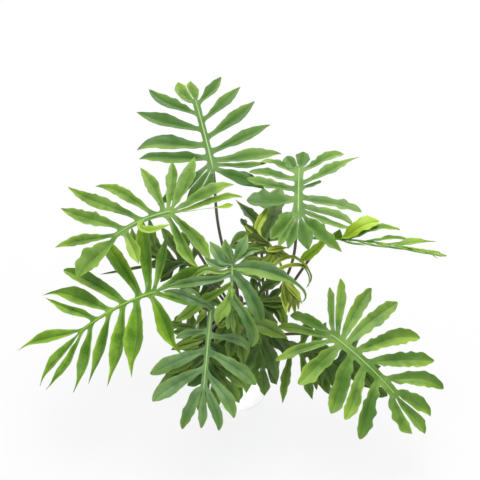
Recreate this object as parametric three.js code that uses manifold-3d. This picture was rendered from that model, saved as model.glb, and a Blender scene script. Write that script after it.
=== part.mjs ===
// Potted philodendron mayoi: a plain white pot of soil with three short stems, and leaves that are cut almost
// to the rachis into long pointed lobes. Millimetres, +Z up, origin at the centre of the pot's underside.
import * as THREE from 'three';
import { mergeVertices } from 'three/addons/utils/BufferGeometryUtils.js';
import Module from 'manifold-3d';

const wasm = await Module();
wasm.setup();

// Driving dimensions of the pot and soil
const POT_HEIGHT = 115;
const POT_BASE_RADIUS = 45;
const POT_RIM_RADIUS = 62;
const POT_WALL = 3.2;
const POT_FLOOR = 4;
const POT_EDGE = 1.6;
const POT_SIDES = 36;
const SOIL_TOP = 99;
const SOIL_LUMP = 2;

// Clearance between pieces that touch
const FIT = 0.3;

// Stems: how deep the foot stands in the soil, and the knuckles where old leaves grew
const STEM_FOOT_DEPTH = 32;
const STEM_SIDES = 8;
const KNUCKLE_SHARES = [0.2, 0.45, 0.7];
const KNUCKLE_SWELL = 1.12;
const KNUCKLE_HALF_LENGTH = 3;

// Petioles. The arch is given in shares of the straight distance from the stem to the hub.
const PETIOLE_RADIUS = 2.1;
const PETIOLE_STEPS = 8;
const PETIOLE_BITE = 1;
const PETIOLE_RISE = 0.34;
const PETIOLE_OUT_HIGH = 0.1;
const PETIOLE_OUT_LOW = 0.2;
const PETIOLE_BEND_AT = 0.3;
const PETIOLE_BEND_RISE = 0.05;
const GREEN_SHEATH_RADIUS = 3.3;
const GREEN_SHEATH_LENGTH = 24;
const TUBE_SIDES = 6;

// Rachis and its wing, which is widest at the hub
const RACHIS_RADIUS = 1.9;
const RACHIS_TAPER = 0.3;
const SPINE_SHARES = [0.98, 0.66, 0.33, 0.05];
const WING_SHARES = [0.97, 0.75, 0.5, 0.25, 0.1, 0];
const WING_REACH = 3.4;
const HUB_REACH = 6.5;
const HUB_SPREAD = 14;
const EDGE_SAMPLES = 240;
const EDGE_STEP = 9;

// Lobes
const BLADE_THICKNESS = 1;
const ROOT_SHARE = 0.5;
const ROOT_LIMIT = 8;
const SINUS = 0.8;
const SPREADING_TURNS = 80;
const LOBE_GAP = 0.5;
const LEAST_REACH = 1.2;
const LOBE_BOW = 0.03;
const FOLD_DEGREES = 20;
const WAVE_SHARE = 0.12;
// Where a lobe of each length has its cross rows, as shares of the length
const LOBE_STATIONS = [
  { over: 76, shares: [0.22, 0.44, 0.66, 0.86] },
  { over: 52, shares: [0.3, 0.6, 0.85] },
  { over: 0, shares: [0.38, 0.74] },
];

// Dry sheaths: cross rows, narrowing to the tip, distance from the stem, flare of the tip and half thickness
const DRY_SHEATH_STATIONS = [0, 0.3, 0.6, 0.85, 1];
const DRY_SHEATH_TAPER = 0.85;
const DRY_SHEATH_STANDOFF = 1.6;
const DRY_SHEATH_FLARE = 4;
const DRY_SHEATH_HALF_THICKNESS = 0.6;

const COLOURS = {
  midGreen: 0x5c8f3c,
  brightGreen: 0x7ba43a,
  blueGreen: 0x6f9a72,
  darkGreen: 0x3c6330,
  olive: 0x8f9a2a,
  stem: 0x6b5a3c,
  drySheath: 0xb39a6c,
  soil: 0x2c241e,
  pot: 0xf2f2ef,
};

// Stems: foot on the soil, lean of the top, height above the soil and radius
const STEMS = {
  stem_tall: { foot: [8, 4], lean: [-4, 3], height: 86, radius: 6.5 },
  stem_right: { foot: [40, 12], lean: [5, 2], height: 76, radius: 6 },
  stem_front: { foot: [24, -26], lean: [2, -3], height: 50, radius: 6 },
};

// Dry sheaths: the stem each one stands against, the side it is on, its height and its width
const DRY_SHEATHS = {
  dry_sheath_tall: { stem: 'stem_tall', side: -70, height: 74, width: 13 },
  dry_sheath_right: { stem: 'stem_right', side: -100, height: 46, width: 12 },
  dry_sheath_front: { stem: 'stem_front', side: 75, height: 38, width: 11 },
};

// Leaves. The hub is where petiole and blade meet. Heading, pitch and roll turn the blade: heading from +X,
// pitch up along the rachis, roll up on its left. The blade drops by droop and cup at 100 mm along and across.
// The rachis leans and sweeps sideways by those distances over its length.
// Each lobe is [distance along the rachis, angle from the rachis, length, width, fold angle, lift of the tip].
const LEAVES = {
  leaf_back: {
    stem: 'stem_tall', joint: 168, hub: [-32, 112, 332], heading: 98, pitch: 18, roll: 0, droop: 8, cup: 6,
    rachis: 129, lean: 9, sweep: 0, colour: 'midGreen',
    lobes: [
      [100, 44, 88, 21], [69, 59, 96, 22], [41, 87, 89, 25, 35], [16, 81, 92, 25, 35], [6, 123, 98, 20],
      [4, 142, 67, 18], [2, 156, 42, 15], [126, 27, 47, 16], [128, 0, 44, 13], [126, -41, 61, 17],
      [87, -44, 91, 19], [54, -49, 102, 20], [28, -65, 98, 21], [12, -85, 93, 22], [3, -92, 75, 20, 20, -5],
      [2, -118, 63, 22],
    ],
  },
  leaf_left_upper: {
    stem: 'stem_tall', joint: 150, hub: [-87, 31, 320], heading: 186, pitch: -14, roll: -24, droop: 6, cup: 4,
    rachis: 116, lean: -11, sweep: 39, colour: 'midGreen',
    lobes: [
      [103, 32, 54, 24], [82, -8, 90, 19], [68, -35, 104, 18], [45, -41, 122, 17], [21, -41, 100, 16],
      [9, -75, 79, 16], [6, -107, 76, 16], [3, -125, 85, 20, 30], [0, -168, 89, 22], [-1, 179, 95, 18],
      [0, 168, 84, 9, 30], [1, 113, 91, 19, 30], [16, 114, 95, 18, 30], [47, 150, 46, 11, 20, 10],
      [73, 105, 55, 20],
    ],
  },
  leaf_left_lower: {
    stem: 'stem_tall', joint: 126, hub: [-109, -37, 235], heading: 199, pitch: -20, roll: -14, droop: 6, cup: 4,
    rachis: 118, lean: -26, sweep: 23, colour: 'brightGreen',
    lobes: [
      [116, -20, 96, 23], [116, 29, 86, 23], [41, -57, 120, 16], [64, -47, 121, 16], [91, -58, 101, 15],
      [23, -86, 105, 16, 30], [10, -107, 107, 22, 30], [1, -125, 103, 17], [0, -179, 85, 20],
      [1, 137, 85, 17], [12, 95, 100, 20, 30], [29, 62, 111, 26, 30], [50, 56, 111, 23, 30],
      [68, 50, 102, 17, 30], [95, 49, 98, 23, 30],
    ],
  },
  leaf_front: {
    stem: 'stem_front', joint: 136, hub: [-32, -94, 260], heading: -92, pitch: -42, roll: 0, droop: 6, cup: 4,
    rachis: 106, lean: -6, sweep: -1, colour: 'blueGreen',
    lobes: [
      [31, -80, 43, 12], [52, -67, 81, 22], [76, -53, 81, 22], [102, -22, 61, 18], [102, -2, 55, 17],
      [36, 74, 51, 13], [57, 56, 71, 22], [81, 31, 67, 22], [103, 16, 58, 18],
    ],
  },
  leaf_right_upper: {
    stem: 'stem_right', joint: 160, hub: [84, 16, 330], heading: 88, pitch: 8, roll: 0, droop: 8, cup: 6,
    rachis: 90, lean: 0, sweep: -1, colour: 'midGreen',
    lobes: [
      [86, -8, 44, 15], [86, 27, 38, 15], [84, -56, 73, 18], [63, -50, 111, 23], [32, -104, 86, 20],
      [16, -112, 76, 18], [2, -104, 67, 18, 20, -5], [0, -135, 78, 20, 30], [-1, -170, 50, 15],
      [84, 79, 58, 17], [66, 78, 69, 18], [50, 75, 75, 20], [30, 93, 81, 32], [1, 138, 60, 26, 30],
      [-1, 159, 60, 18],
    ],
  },
  leaf_centre: {
    stem: 'stem_tall', joint: 178, hub: [-4, -79, 325], heading: -90, pitch: -50, roll: 0, droop: 6, cup: 4,
    rachis: 60, lean: 0, sweep: -2, colour: 'blueGreen',
    lobes: [
      [57, 6, 34, 7], [56, -8, 31, 7], [8, 76, 88, 21, 30], [0, -164, 29, 14], [0, -131, 44, 16],
      [1, 146, 50, 12], [1, 127, 52, 13], [2, 112, 38, 13], [13, -79, 59, 15], [30, -57, 85, 21, 35],
      [30, 41, 60, 16], [51, 19, 78, 16, 35],
    ],
  },
  leaf_right: {
    stem: 'stem_right', joint: 138, hub: [123, 27, 265], heading: -2, pitch: -4, roll: -34, droop: 4, cup: -12,
    rachis: 150, lean: 0, sweep: 0, colour: 'brightGreen',
    lobes: [
      [10, 96, 45, 15], [24, 55, 85, 18, 20, 14], [45, 46, 82, 17], [70, 48, 80, 17, 20, -5],
      [100, 42, 70, 16], [124, 34, 52, 13], [146, 4, 32, 11], [8, -98, 48, 15], [22, -66, 78, 18],
      [44, -58, 80, 18], [68, -52, 76, 17], [92, -46, 68, 16], [114, -38, 60, 13], [132, -28, 46, 12],
      [0, -152, 54, 16], [0, 146, 46, 15],
    ],
  },
  leaf_right_lower: {
    stem: 'stem_front', joint: 124, hub: [129, -84, 200], heading: -38, pitch: -30, roll: 22, droop: 6, cup: 3,
    rachis: 116, lean: 22, sweep: -12, colour: 'midGreen',
    lobes: [
      [114, -6, 67, 18], [4, 146, 64, 12], [7, 131, 79, 16], [10, 102, 81, 17], [20, 83, 93, 18],
      [37, 59, 95, 22, 30], [59, 48, 98, 19], [92, 40, 92, 18], [112, 12, 65, 16], [112, -19, 62, 16],
      [85, -61, 91, 22, 30], [59, -64, 81, 19], [34, -62, 91, 22, 30], [16, -90, 83, 20, 30],
      [7, -110, 90, 13], [2, -139, 72, 12, 30], [0, -162, 58, 16],
    ],
  },
  leaf_low_right: {
    stem: 'stem_front', joint: 108, hub: [75, -54, 150], heading: -22, pitch: -22, roll: 22, droop: 6, cup: 3,
    rachis: 126, lean: 19, sweep: -6, colour: 'darkGreen',
    lobes: [
      [5, -70, 78, 16], [17, -48, 71, 20], [41, -42, 55, 18], [70, -48, 48, 17], [29, 89, 54, 17],
      [15, 96, 54, 16], [69, 77, 57, 16], [98, 50, 46, 15], [122, 3, 34, 15],
    ],
  },
  leaf_low_front: {
    stem: 'stem_front', joint: 120, hub: [25, -55, 190], heading: -65, pitch: -45, roll: 0, droop: 6, cup: 3,
    rachis: 57, lean: -3, sweep: 2, colour: 'darkGreen',
    lobes: [
      [5, 52, 55, 14], [21, 28, 40, 15], [26, -46, 46, 18], [50, -15, 48, 21], [52, 14, 36, 17],
      [9, -66, 40, 18], [2, 115, 38, 16],
    ],
  },
  leaf_low_left: {
    stem: 'stem_tall', joint: 158, hub: [-40, -79, 195], heading: -95, pitch: -50, roll: 0, droop: 6, cup: 3,
    rachis: 62, lean: 14, sweep: -3, colour: 'darkGreen',
    lobes: [
      [20, -48, 95, 19], [4, -107, 49, 16], [42, 41, 64, 22], [31, 54, 67, 19], [58, -20, 49, 18],
      [60, 8, 47, 16],
    ],
  },
  leaf_young: {
    stem: 'stem_right', joint: 172, hub: [43, -11, 300], heading: -35, pitch: -30, roll: 0, droop: 6, cup: 4,
    rachis: 52, lean: -4, sweep: -18, colour: 'olive',
    lobes: [
      [5, 50, 28, 12], [11, 27, 28, 12], [21, 24, 49, 11], [33, 23, 46, 9], [50, -47, 50, 18],
      [50, -8, 36, 16], [10, -100, 24, 12], [23, -97, 42, 12], [0, 128, 52, 14], [0, -173, 39, 12],
    ],
  },
  leaf_inner: {
    stem: 'stem_right', joint: 150, hub: [36, 42, 240], heading: 110, pitch: 8, roll: 0, droop: 10, cup: 8,
    rachis: 46, lean: 0, sweep: 4, colour: 'darkGreen',
    lobes: [
      [42, 6, 44, 15], [36, 52, 46, 15], [14, 62, 46, 16], [36, -44, 48, 15], [14, -76, 48, 16],
      [2, -124, 46, 16],
    ],
  },
  leaf_mid_left: {
    stem: 'stem_tall', joint: 106, hub: [-52, 24, 160], heading: 190, pitch: -22, roll: -12, droop: 6, cup: 4,
    rachis: 28, lean: 0, sweep: 8, colour: 'darkGreen',
    lobes: [
      [20, 32, 39, 19], [25, -14, 29, 16], [13, 70, 59, 18], [16, -39, 54, 15], [0, 85, 69, 18],
      [-1, 120, 32, 13], [2, -95, 41, 13], [7, -67, 49, 13],
    ],
  },
  leaf_low_middle: {
    stem: 'stem_front', joint: 104, hub: [3, -62, 184], heading: -84, pitch: -50, roll: 0, droop: 6, cup: 3,
    rachis: 38, lean: 6, sweep: 0, colour: 'midGreen',
    lobes: [
      [37, -10, 61, 24], [36, 1, 50, 18], [32, 26, 50, 18], [24, 45, 43, 17], [21, -36, 52, 21], [13, -62, 44, 19],
      [6, 66, 18, 13], [1, -78, 34, 17],
    ],
  },
  leaf_left_inner: {
    stem: 'stem_tall', joint: 137, hub: [-65, 46, 215], heading: 178, pitch: -6, roll: -20, droop: 6, cup: 4,
    rachis: 29, lean: 0, sweep: -2, colour: 'darkGreen',
    lobes: [
      [27, 2, 33, 16], [20, -44, 50, 16], [11, -62, 71, 16], [4, -80, 53, 14], [20, 53, 37, 16], [9, 77, 41, 15],
      [0, -115, 39, 14], [0, 124, 36, 13],
    ],
  },
  leaf_front_inner: {
    stem: 'stem_right', joint: 152, hub: [-1, -73, 245], heading: -82, pitch: -52, roll: 0, droop: 6, cup: 3,
    rachis: 28, lean: 2, sweep: 0, colour: 'darkGreen',
    lobes: [
      [26, 4, 56, 19], [27, -18, 47, 18], [17, 38, 50, 18], [14, -42, 48, 18], [5, 58, 38, 16], [4, -80, 14, 10],
    ],
  },
  leaf_mid_right: {
    stem: 'stem_front', joint: 142, hub: [31, -33, 222], heading: -30, pitch: -25, roll: 10, droop: 6, cup: 4,
    rachis: 26, lean: 0, sweep: 1, colour: 'darkGreen',
    lobes: [
      [22, 49, 31, 13], [23, -8, 32, 16], [11, -34, 49, 16], [3, -61, 49, 17], [11, 77, 37, 12],
      [0, 140, 32, 13],
    ],
  },
};

// The rolled new leaf: the stem that it rises from, the foot and top of the rolled blade, and both radii
const ROLLED_LEAF = {
  stem: 'stem_right', joint: 166, base: [26, 26, 268], top: [40, 34, 306], radius: 3.6, stalkRadius: 1.68,
};

const degrees = (angle) => THREE.MathUtils.degToRad(angle);

function toSolid(geometry) {
  const bare = geometry.clone();
  bare.deleteAttribute('normal');
  bare.deleteAttribute('uv');
  const merged = mergeVertices(bare, 1e-4);
  const corners = merged.index.array;
  const kept = [];
  for (let i = 0; i < corners.length; i += 3) {
    const [a, b, c] = [corners[i], corners[i + 1], corners[i + 2]];
    if (a !== b && b !== c && c !== a) kept.push(a, b, c);
  }
  const build = (triangles) => new wasm.Manifold(new wasm.Mesh({
    numProp: 3,
    vertProperties: new Float32Array(merged.attributes.position.array),
    triVerts: new Uint32Array(triangles),
  }));
  const solid = build(kept);
  if (solid.volume() > 0) return solid;
  return build(kept.toReversed());
}

function toGeometry(solid) {
  const mesh = solid.getMesh();
  const geometry = new THREE.BufferGeometry();
  geometry.setAttribute('position', new THREE.BufferAttribute(mesh.vertProperties, 3));
  geometry.setIndex(new THREE.BufferAttribute(mesh.triVerts, 1));
  geometry.computeVertexNormals();
  return geometry;
}

function fuse(solids) {
  return solids.reduce((whole, next) => whole.add(next)).simplify(0.01);
}

function lathe(profile, sides) {
  const points = profile.map(([radius, height]) => new THREE.Vector2(radius, height));
  return new THREE.LatheGeometry(points, sides).rotateX(Math.PI / 2);
}

function tube(curve, radius, steps, sides = TUBE_SIDES) {
  const section = new THREE.Shape();
  for (let i = 0; i < sides; i += 1) {
    const angle = (i / sides) * Math.PI * 2;
    const [x, y] = [radius * Math.cos(angle), radius * Math.sin(angle)];
    if (i === 0) section.moveTo(x, y);
    else section.lineTo(x, y);
  }
  section.closePath();
  return new THREE.ExtrudeGeometry(section, { steps, bevelEnabled: false, extrudePath: curve });
}

// Closes a surface into a thin solid. Both faces have the same triangles, and every open edge gets a rim.
function thickSolid(upper, lower, triangles) {
  const count = upper.length;
  const corners = [...triangles.flat(), ...triangles.flatMap(([a, b, c]) => [a + count, c + count, b + count])];
  const edges = new Set();
  for (const [a, b, c] of triangles) {
    for (const [from, to] of [[a, b], [b, c], [c, a]]) edges.add(`${from} ${to}`);
  }
  for (const edge of edges) {
    const [from, to] = edge.split(' ').map(Number);
    if (edges.has(`${to} ${from}`)) continue;
    corners.push(from, from + count, to + count, from, to + count, to);
  }
  const geometry = new THREE.BufferGeometry();
  const positions = [...upper, ...lower].flatMap((point) => point.toArray());
  geometry.setAttribute('position', new THREE.Float32BufferAttribute(positions, 3));
  geometry.setIndex(corners);
  return toSolid(geometry);
}

// Lobe outline: narrow at the rachis, widest past the middle, then drawn out to a point
const LOBE_OUTLINE = new THREE.CatmullRomCurve3([
  new THREE.Vector3(0, 0.54, 0),
  new THREE.Vector3(0.2, 0.62, 0),
  new THREE.Vector3(0.4, 0.86, 0),
  new THREE.Vector3(0.6, 1, 0),
  new THREE.Vector3(0.8, 0.76, 0),
  new THREE.Vector3(1, 0, 0),
]);

// The blade of a leaf. Plan points are (along the rachis, across it). The lobes stand on a closed edge
// that runs round the winged rachis, from the terminal end by the left side and the hub to the right side.
class Leaf {
  constructor(sizes) {
    Object.assign(this, sizes);
    this.centre = new THREE.Vector3(...sizes.hub);
    const [turn, tilt, bank] = [degrees(sizes.heading), degrees(sizes.pitch), degrees(sizes.roll)];
    this.forward = new THREE.Vector3(
      Math.cos(turn) * Math.cos(tilt),
      Math.sin(turn) * Math.cos(tilt),
      Math.sin(tilt),
    );
    const level = new THREE.Vector3(-Math.sin(turn), Math.cos(turn), 0);
    const up = new THREE.Vector3().crossVectors(this.forward, level);
    this.left = level.clone().multiplyScalar(Math.cos(bank)).addScaledVector(up, Math.sin(bank));
    this.normal = up.clone().multiplyScalar(Math.cos(bank)).addScaledVector(level, -Math.sin(bank));
  }

  point(plan, height) {
    const drop = this.droop * (plan.x / 100) ** 2 + this.cup * (plan.y / 100) ** 2;
    return this.centre.clone()
      .addScaledVector(this.forward, plan.x)
      .addScaledVector(this.left, plan.y)
      .addScaledVector(this.normal, height - drop);
  }

  onRachis(along) {
    const share = along / this.rachis;
    return new THREE.Vector3(along, this.lean * share + this.sweep * share * share, 0);
  }

  wingEdge() {
    const stations = WING_SHARES.map((share) => share * this.rachis);
    const side = (sign) => stations.map((along) => {
      const reach = WING_REACH + (HUB_REACH - WING_REACH) * Math.exp(-((along / HUB_SPREAD) ** 2));
      return this.onRachis(along).add(new THREE.Vector3(0, sign * reach, 0));
    });
    const end = this.onRachis(this.rachis);
    end.x += WING_REACH;
    const back = new THREE.Vector3(-HUB_REACH, 0, 0);
    return new THREE.CatmullRomCurve3([end, ...side(1), back, ...side(-1).reverse()], true);
  }

  // Where each lobe stands on the edge: in the lobe's direction from its rachis point, pushed clear of the next
  lobeRoots(edge) {
    const length = edge.getLength();
    const samples = edge.getSpacedPoints(EDGE_SAMPLES);
    const roots = this.lobes.map(([at, angle, reach, width, fold = FOLD_DEGREES, lift = 0]) => {
      const from = this.onRachis(at);
      const way = new THREE.Vector3(Math.cos(degrees(angle)), Math.sin(degrees(angle)), 0);
      const facing = samples.map((sample) => sample.clone().sub(from).normalize().dot(way));
      const place = (facing.indexOf(Math.max(...facing)) / EDGE_SAMPLES) * length;
      const tip = from.clone().addScaledVector(way, reach);
      return { place, base: Math.min(ROOT_SHARE * width, ROOT_LIMIT), tip, width, fold, lift };
    });
    roots.sort((one, other) => one.place - other.place);
    for (let turn = 0; turn < SPREADING_TURNS; turn += 1) {
      roots.forEach((root, i) => {
        const next = roots[(i + 1) % roots.length];
        const lap = i + 1 === roots.length ? length : 0;
        const crowding = root.place + (root.base + next.base) / 2 + SINUS - next.place - lap;
        if (crowding <= 0) return;
        root.place -= crowding / 4;
        next.place += crowding / 4;
        root.base -= crowding / 8;
        next.base -= crowding / 8;
      });
    }
    return roots;
  }

  // Half the width that a lobe may have at a plan point, so that it stays clear of the lobe beside it
  halfWidth(root, neighbour, plan, wanted) {
    const midline = new THREE.Line3(neighbour.foot, neighbour.tip);
    const nearest = midline.closestPointToPoint(plan, true, new THREE.Vector3());
    const room = nearest.distanceTo(plan) * (root.width / (root.width + neighbour.width)) - LOBE_GAP;
    return Math.max(Math.min(wanted, room), LEAST_REACH);
  }

  lobeRows(root, index, before, after) {
    const foot = root.foot;
    const span = root.tip.clone().sub(foot);
    const length = span.length();
    const way = span.clone().normalize();
    const aside = new THREE.Vector3(-way.y, way.x, 0);
    const bow = 4 * LOBE_BOW * length * way.y;
    const shares = LOBE_STATIONS.find(({ over }) => length > over).shares;
    const rows = shares.map((u) => [-1, 0, 1].map((v) => {
      const middle = foot.clone().addScaledVector(span, u).addScaledVector(aside, bow * u * (1 - u));
      const wave = 1 + WAVE_SHARE * Math.sin(9 * u + 2.3 * index + 1.5 * v);
      const wanted = 0.5 * root.width * LOBE_OUTLINE.getPoint(u).y * wave;
      const reach = v * this.halfWidth(root, v < 0 ? before : after, middle, wanted);
      const raise = root.lift * u * u + Math.abs(reach) * Math.tan(degrees(root.fold)) * (1 - 0.5 * u * u);
      return [middle.addScaledVector(aside, reach), raise];
    }));
    return [...rows, [[root.tip, root.lift]]];
  }

  bladeSolid() {
    const edge = this.wingEdge();
    const length = edge.getLength();
    const onEdge = (place) => edge.getPointAt((((place / length) % 1) + 1) % 1);
    const points = [];
    const triangles = [];
    const ring = [];
    const add = (plan, raise, half = 0.5 * BLADE_THICKNESS) => points.push({ plan, raise, half }) - 1;
    const roots = this.lobeRoots(edge);
    for (const root of roots) root.foot = onEdge(root.place);
    roots.forEach((root, index) => {
      const before = roots.at(index - 1);
      const after = roots[(index + 1) % roots.length];
      let last = [-0.5, 0, 0.5].map((share) => add(onEdge(root.place + share * root.base), 0));
      ring.push(...last);
      const end = root.place + root.base / 2;
      const start = after.place - after.base / 2 + (index + 1 === roots.length ? length : 0);
      const fillers = Math.floor((start - end) / EDGE_STEP);
      for (let k = 1; k <= fillers; k += 1) {
        ring.push(add(onEdge(end + (k * (start - end)) / (fillers + 1)), 0));
      }
      for (const row of this.lobeRows(root, index, before, after)) {
        const next = row.map(([plan, raise]) => add(plan, raise));
        const [right, middle, left] = last;
        if (next.length === 1) {
          triangles.push([right, next[0], middle], [middle, next[0], left]);
        } else {
          triangles.push([right, next[0], next[1]], [right, next[1], middle]);
          triangles.push([middle, next[1], left], [next[1], next[2], left]);
        }
        last = next;
      }
    });
    const spine = SPINE_SHARES.map((share, i) => {
      const rib = RACHIS_RADIUS * (1 - RACHIS_TAPER * share);
      return add(this.onRachis(share * this.rachis), 0, i === 0 ? 0.5 * BLADE_THICKNESS : rib);
    });
    const nearest = (plan) => ring.reduce((best, i) => (
      points[i].plan.distanceTo(plan) < points[best].plan.distanceTo(plan) ? i : best
    ), ring[0]);
    const end = ring.indexOf(nearest(this.onRachis(this.rachis + WING_REACH)));
    const back = ring.indexOf(nearest(new THREE.Vector3(-HUB_REACH, 0, 0)));
    const walk = (from, to) => {
      const path = [];
      for (let i = from; i !== to; i = (i + 1) % ring.length) path.push(ring[i]);
      return [...path, ring[to]];
    };
    for (const loop of [[...walk(end, back), ...spine.toReversed()], [...walk(back, end), ...spine]]) {
      const contour = loop.map((i) => new THREE.Vector2(points[i].plan.x, points[i].plan.y));
      const flip = THREE.ShapeUtils.area(contour) < 0;
      for (const [a, b, c] of THREE.ShapeUtils.triangulateShape(contour, [])) {
        triangles.push(flip ? [loop[a], loop[c], loop[b]] : [loop[a], loop[b], loop[c]]);
      }
    }
    const face = (sign) => points.map(({ plan, raise, half }) => this.point(plan, raise + sign * half));
    return thickSolid(face(1), face(-1), triangles);
  }

  petioleSolids() {
    const curve = petioleCurve(this.stem, this.joint, this.centre);
    const sheathEnd = GREEN_SHEATH_LENGTH / curve.getLength();
    const lower = [0, 0.5, 1].map((share) => curve.getPointAt(sheathEnd * share));
    return [
      toSolid(tube(curve, PETIOLE_RADIUS, PETIOLE_STEPS)),
      toSolid(tube(new THREE.CatmullRomCurve3(lower), GREEN_SHEATH_RADIUS, 2)),
    ];
  }

  solid() {
    return fuse([this.bladeSolid(), ...this.petioleSolids()]).subtract(stemSolid(this.stem, FIT));
  }
}

// Point on a stem's axis at a height above the pot's underside
function stemAxis(name, height) {
  const { foot, lean, height: length } = STEMS[name];
  const share = (height - SOIL_TOP) / length;
  return new THREE.Vector3(foot[0] + lean[0] * share, foot[1] + lean[1] * share, height);
}

// A petiole leaves its stem steeply on the side of its hub and arches out to the hub
function petioleCurve(stem, joint, hub) {
  const axis = stemAxis(stem, joint);
  const out = new THREE.Vector3(hub.x - axis.x, hub.y - axis.y, 0).normalize();
  const start = axis.clone().addScaledVector(out, STEMS[stem].radius - PETIOLE_BITE);
  const reach = start.distanceTo(hub);
  const height = (joint - SOIL_TOP) / STEMS[stem].height;
  const first = start.clone().addScaledVector(out, reach * (PETIOLE_OUT_HIGH + PETIOLE_OUT_LOW * (1 - height)));
  first.z += reach * PETIOLE_RISE;
  const second = hub.clone().lerp(start, PETIOLE_BEND_AT);
  second.z += reach * PETIOLE_BEND_RISE;
  return new THREE.CubicBezierCurve3(start, first, second, hub);
}

// Turns a piece that stands on the origin so that it stands on one point and leans towards the other
function standBetween(geometry, foot, top) {
  const lean = top.clone().sub(foot).normalize();
  const tilt = new THREE.Quaternion().setFromUnitVectors(new THREE.Vector3(0, 0, 1), lean);
  return geometry.applyQuaternion(tilt).translate(foot.x, foot.y, foot.z);
}

function stemSolid(name, extra = 0) {
  const { radius, height } = STEMS[name];
  const r = radius + extra;
  const bottom = -STEM_FOOT_DEPTH - extra;
  const profile = [[0, bottom], [r * 0.8, bottom], [r, bottom + 6]];
  for (const knuckle of KNUCKLE_SHARES.map((share) => share * height)) {
    profile.push([r, knuckle - KNUCKLE_HALF_LENGTH]);
    profile.push([r * KNUCKLE_SWELL, knuckle]);
    profile.push([r, knuckle + KNUCKLE_HALF_LENGTH]);
  }
  profile.push([r * 0.9, height - 3], [r * 0.5, height + extra], [0, height + extra]);
  const geometry = lathe(profile, STEM_SIDES);
  return toSolid(standBetween(geometry, stemAxis(name, SOIL_TOP), stemAxis(name, SOIL_TOP + height)));
}

function sheathSolid({ stem, side, height, width }) {
  const { radius } = STEMS[stem];
  const turn = degrees(side);
  const face = (sign) => {
    const points = [];
    for (const u of DRY_SHEATH_STATIONS) {
      for (const v of [-1, 0, 1]) {
        const axis = stemAxis(stem, SOIL_TOP + SOIL_LUMP + 1 + height * u);
        const spread = (0.5 * width * (1 - DRY_SHEATH_TAPER * u ** 2) * v) / radius;
        const middle = radius + DRY_SHEATH_STANDOFF + DRY_SHEATH_FLARE * u ** 3;
        const distance = middle + sign * DRY_SHEATH_HALF_THICKNESS;
        axis.x += distance * Math.cos(turn + spread);
        axis.y += distance * Math.sin(turn + spread);
        points.push(axis);
      }
    }
    return points;
  };
  const triangles = [];
  for (let row = 0; row < DRY_SHEATH_STATIONS.length - 1; row += 1) {
    for (const i of [3 * row, 3 * row + 1]) {
      triangles.push([i, i + 1, i + 4], [i, i + 4, i + 3]);
    }
  }
  return thickSolid(face(1), face(-1), triangles).subtract(stemSolid(stem, FIT));
}

function rolledLeafSolid({ stem, joint, base, top, radius, stalkRadius }) {
  const start = new THREE.Vector3(...base);
  const end = new THREE.Vector3(...top);
  const length = start.distanceTo(end);
  const profile = [[0, -4], [1.6, -3], [radius * 0.8, length * 0.2], [radius, length * 0.45]];
  profile.push([radius * 0.6, length * 0.8], [0.5, length], [0, length]);
  const roll = standBetween(lathe(profile, STEM_SIDES), start, end);
  const stalk = tube(petioleCurve(stem, joint, start), stalkRadius, PETIOLE_STEPS);
  return fuse([toSolid(roll), toSolid(stalk)]).subtract(stemSolid(stem, FIT));
}

function potRadius(height) {
  return POT_BASE_RADIUS + (POT_RIM_RADIUS - POT_BASE_RADIUS) * (height / POT_HEIGHT);
}

function potSolid() {
  const top = POT_HEIGHT;
  return toSolid(lathe([
    [0, 0],
    [POT_BASE_RADIUS - POT_EDGE, 0],
    [potRadius(POT_EDGE), POT_EDGE],
    [potRadius(top / 2), top / 2],
    [potRadius(top - POT_EDGE), top - POT_EDGE],
    [potRadius(top) - 0.5 * POT_EDGE, top],
    [potRadius(top) - POT_WALL + 0.5 * POT_EDGE, top],
    [potRadius(top - POT_EDGE) - POT_WALL, top - POT_EDGE],
    [potRadius(POT_FLOOR) - POT_WALL, POT_FLOOR],
    [0, POT_FLOOR],
  ], POT_SIDES));
}

function soilSolid() {
  const wall = (height) => potRadius(height) - POT_WALL - FIT;
  const bottom = POT_FLOOR + FIT;
  const geometry = lathe([
    [0, bottom],
    [wall(bottom), bottom],
    [wall(SOIL_TOP - 4), SOIL_TOP - 4],
    [wall(SOIL_TOP) - 4, SOIL_TOP],
    [36, SOIL_TOP],
    [18, SOIL_TOP],
    [0, SOIL_TOP],
  ], POT_SIDES);
  const position = geometry.attributes.position;
  for (let i = 0; i < position.count; i += 1) {
    if (position.getZ(i) < SOIL_TOP - 0.01) continue;
    const lump = Math.sin(position.getX(i) * 0.16 + 1) * Math.cos(position.getY(i) * 0.13);
    position.setZ(i, SOIL_TOP + SOIL_LUMP * 0.5 * lump);
  }
  const holes = Object.keys(STEMS).map((name) => stemSolid(name, FIT));
  return holes.reduce((soil, hole) => soil.subtract(hole), toSolid(geometry));
}

function addMesh(group, name, solid, colour, roughness) {
  const material = new THREE.MeshStandardMaterial({ color: COLOURS[colour], roughness, metalness: 0 });
  const mesh = new THREE.Mesh(toGeometry(solid), material);
  mesh.name = name;
  group.add(mesh);
}

const group = new THREE.Group();
addMesh(group, 'pot', potSolid(), 'pot', 0.35);
addMesh(group, 'soil', soilSolid(), 'soil', 0.95);
for (const name of Object.keys(STEMS)) {
  addMesh(group, name, stemSolid(name), 'stem', 0.7);
}
for (const [name, sizes] of Object.entries(DRY_SHEATHS)) {
  addMesh(group, name, sheathSolid(sizes), 'drySheath', 0.85);
}
for (const [name, sizes] of Object.entries(LEAVES)) {
  addMesh(group, name, new Leaf(sizes).solid(), sizes.colour, 0.45);
}
addMesh(group, 'leaf_rolled', rolledLeafSolid(ROLLED_LEAF), 'olive', 0.5);

export default group;
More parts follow.
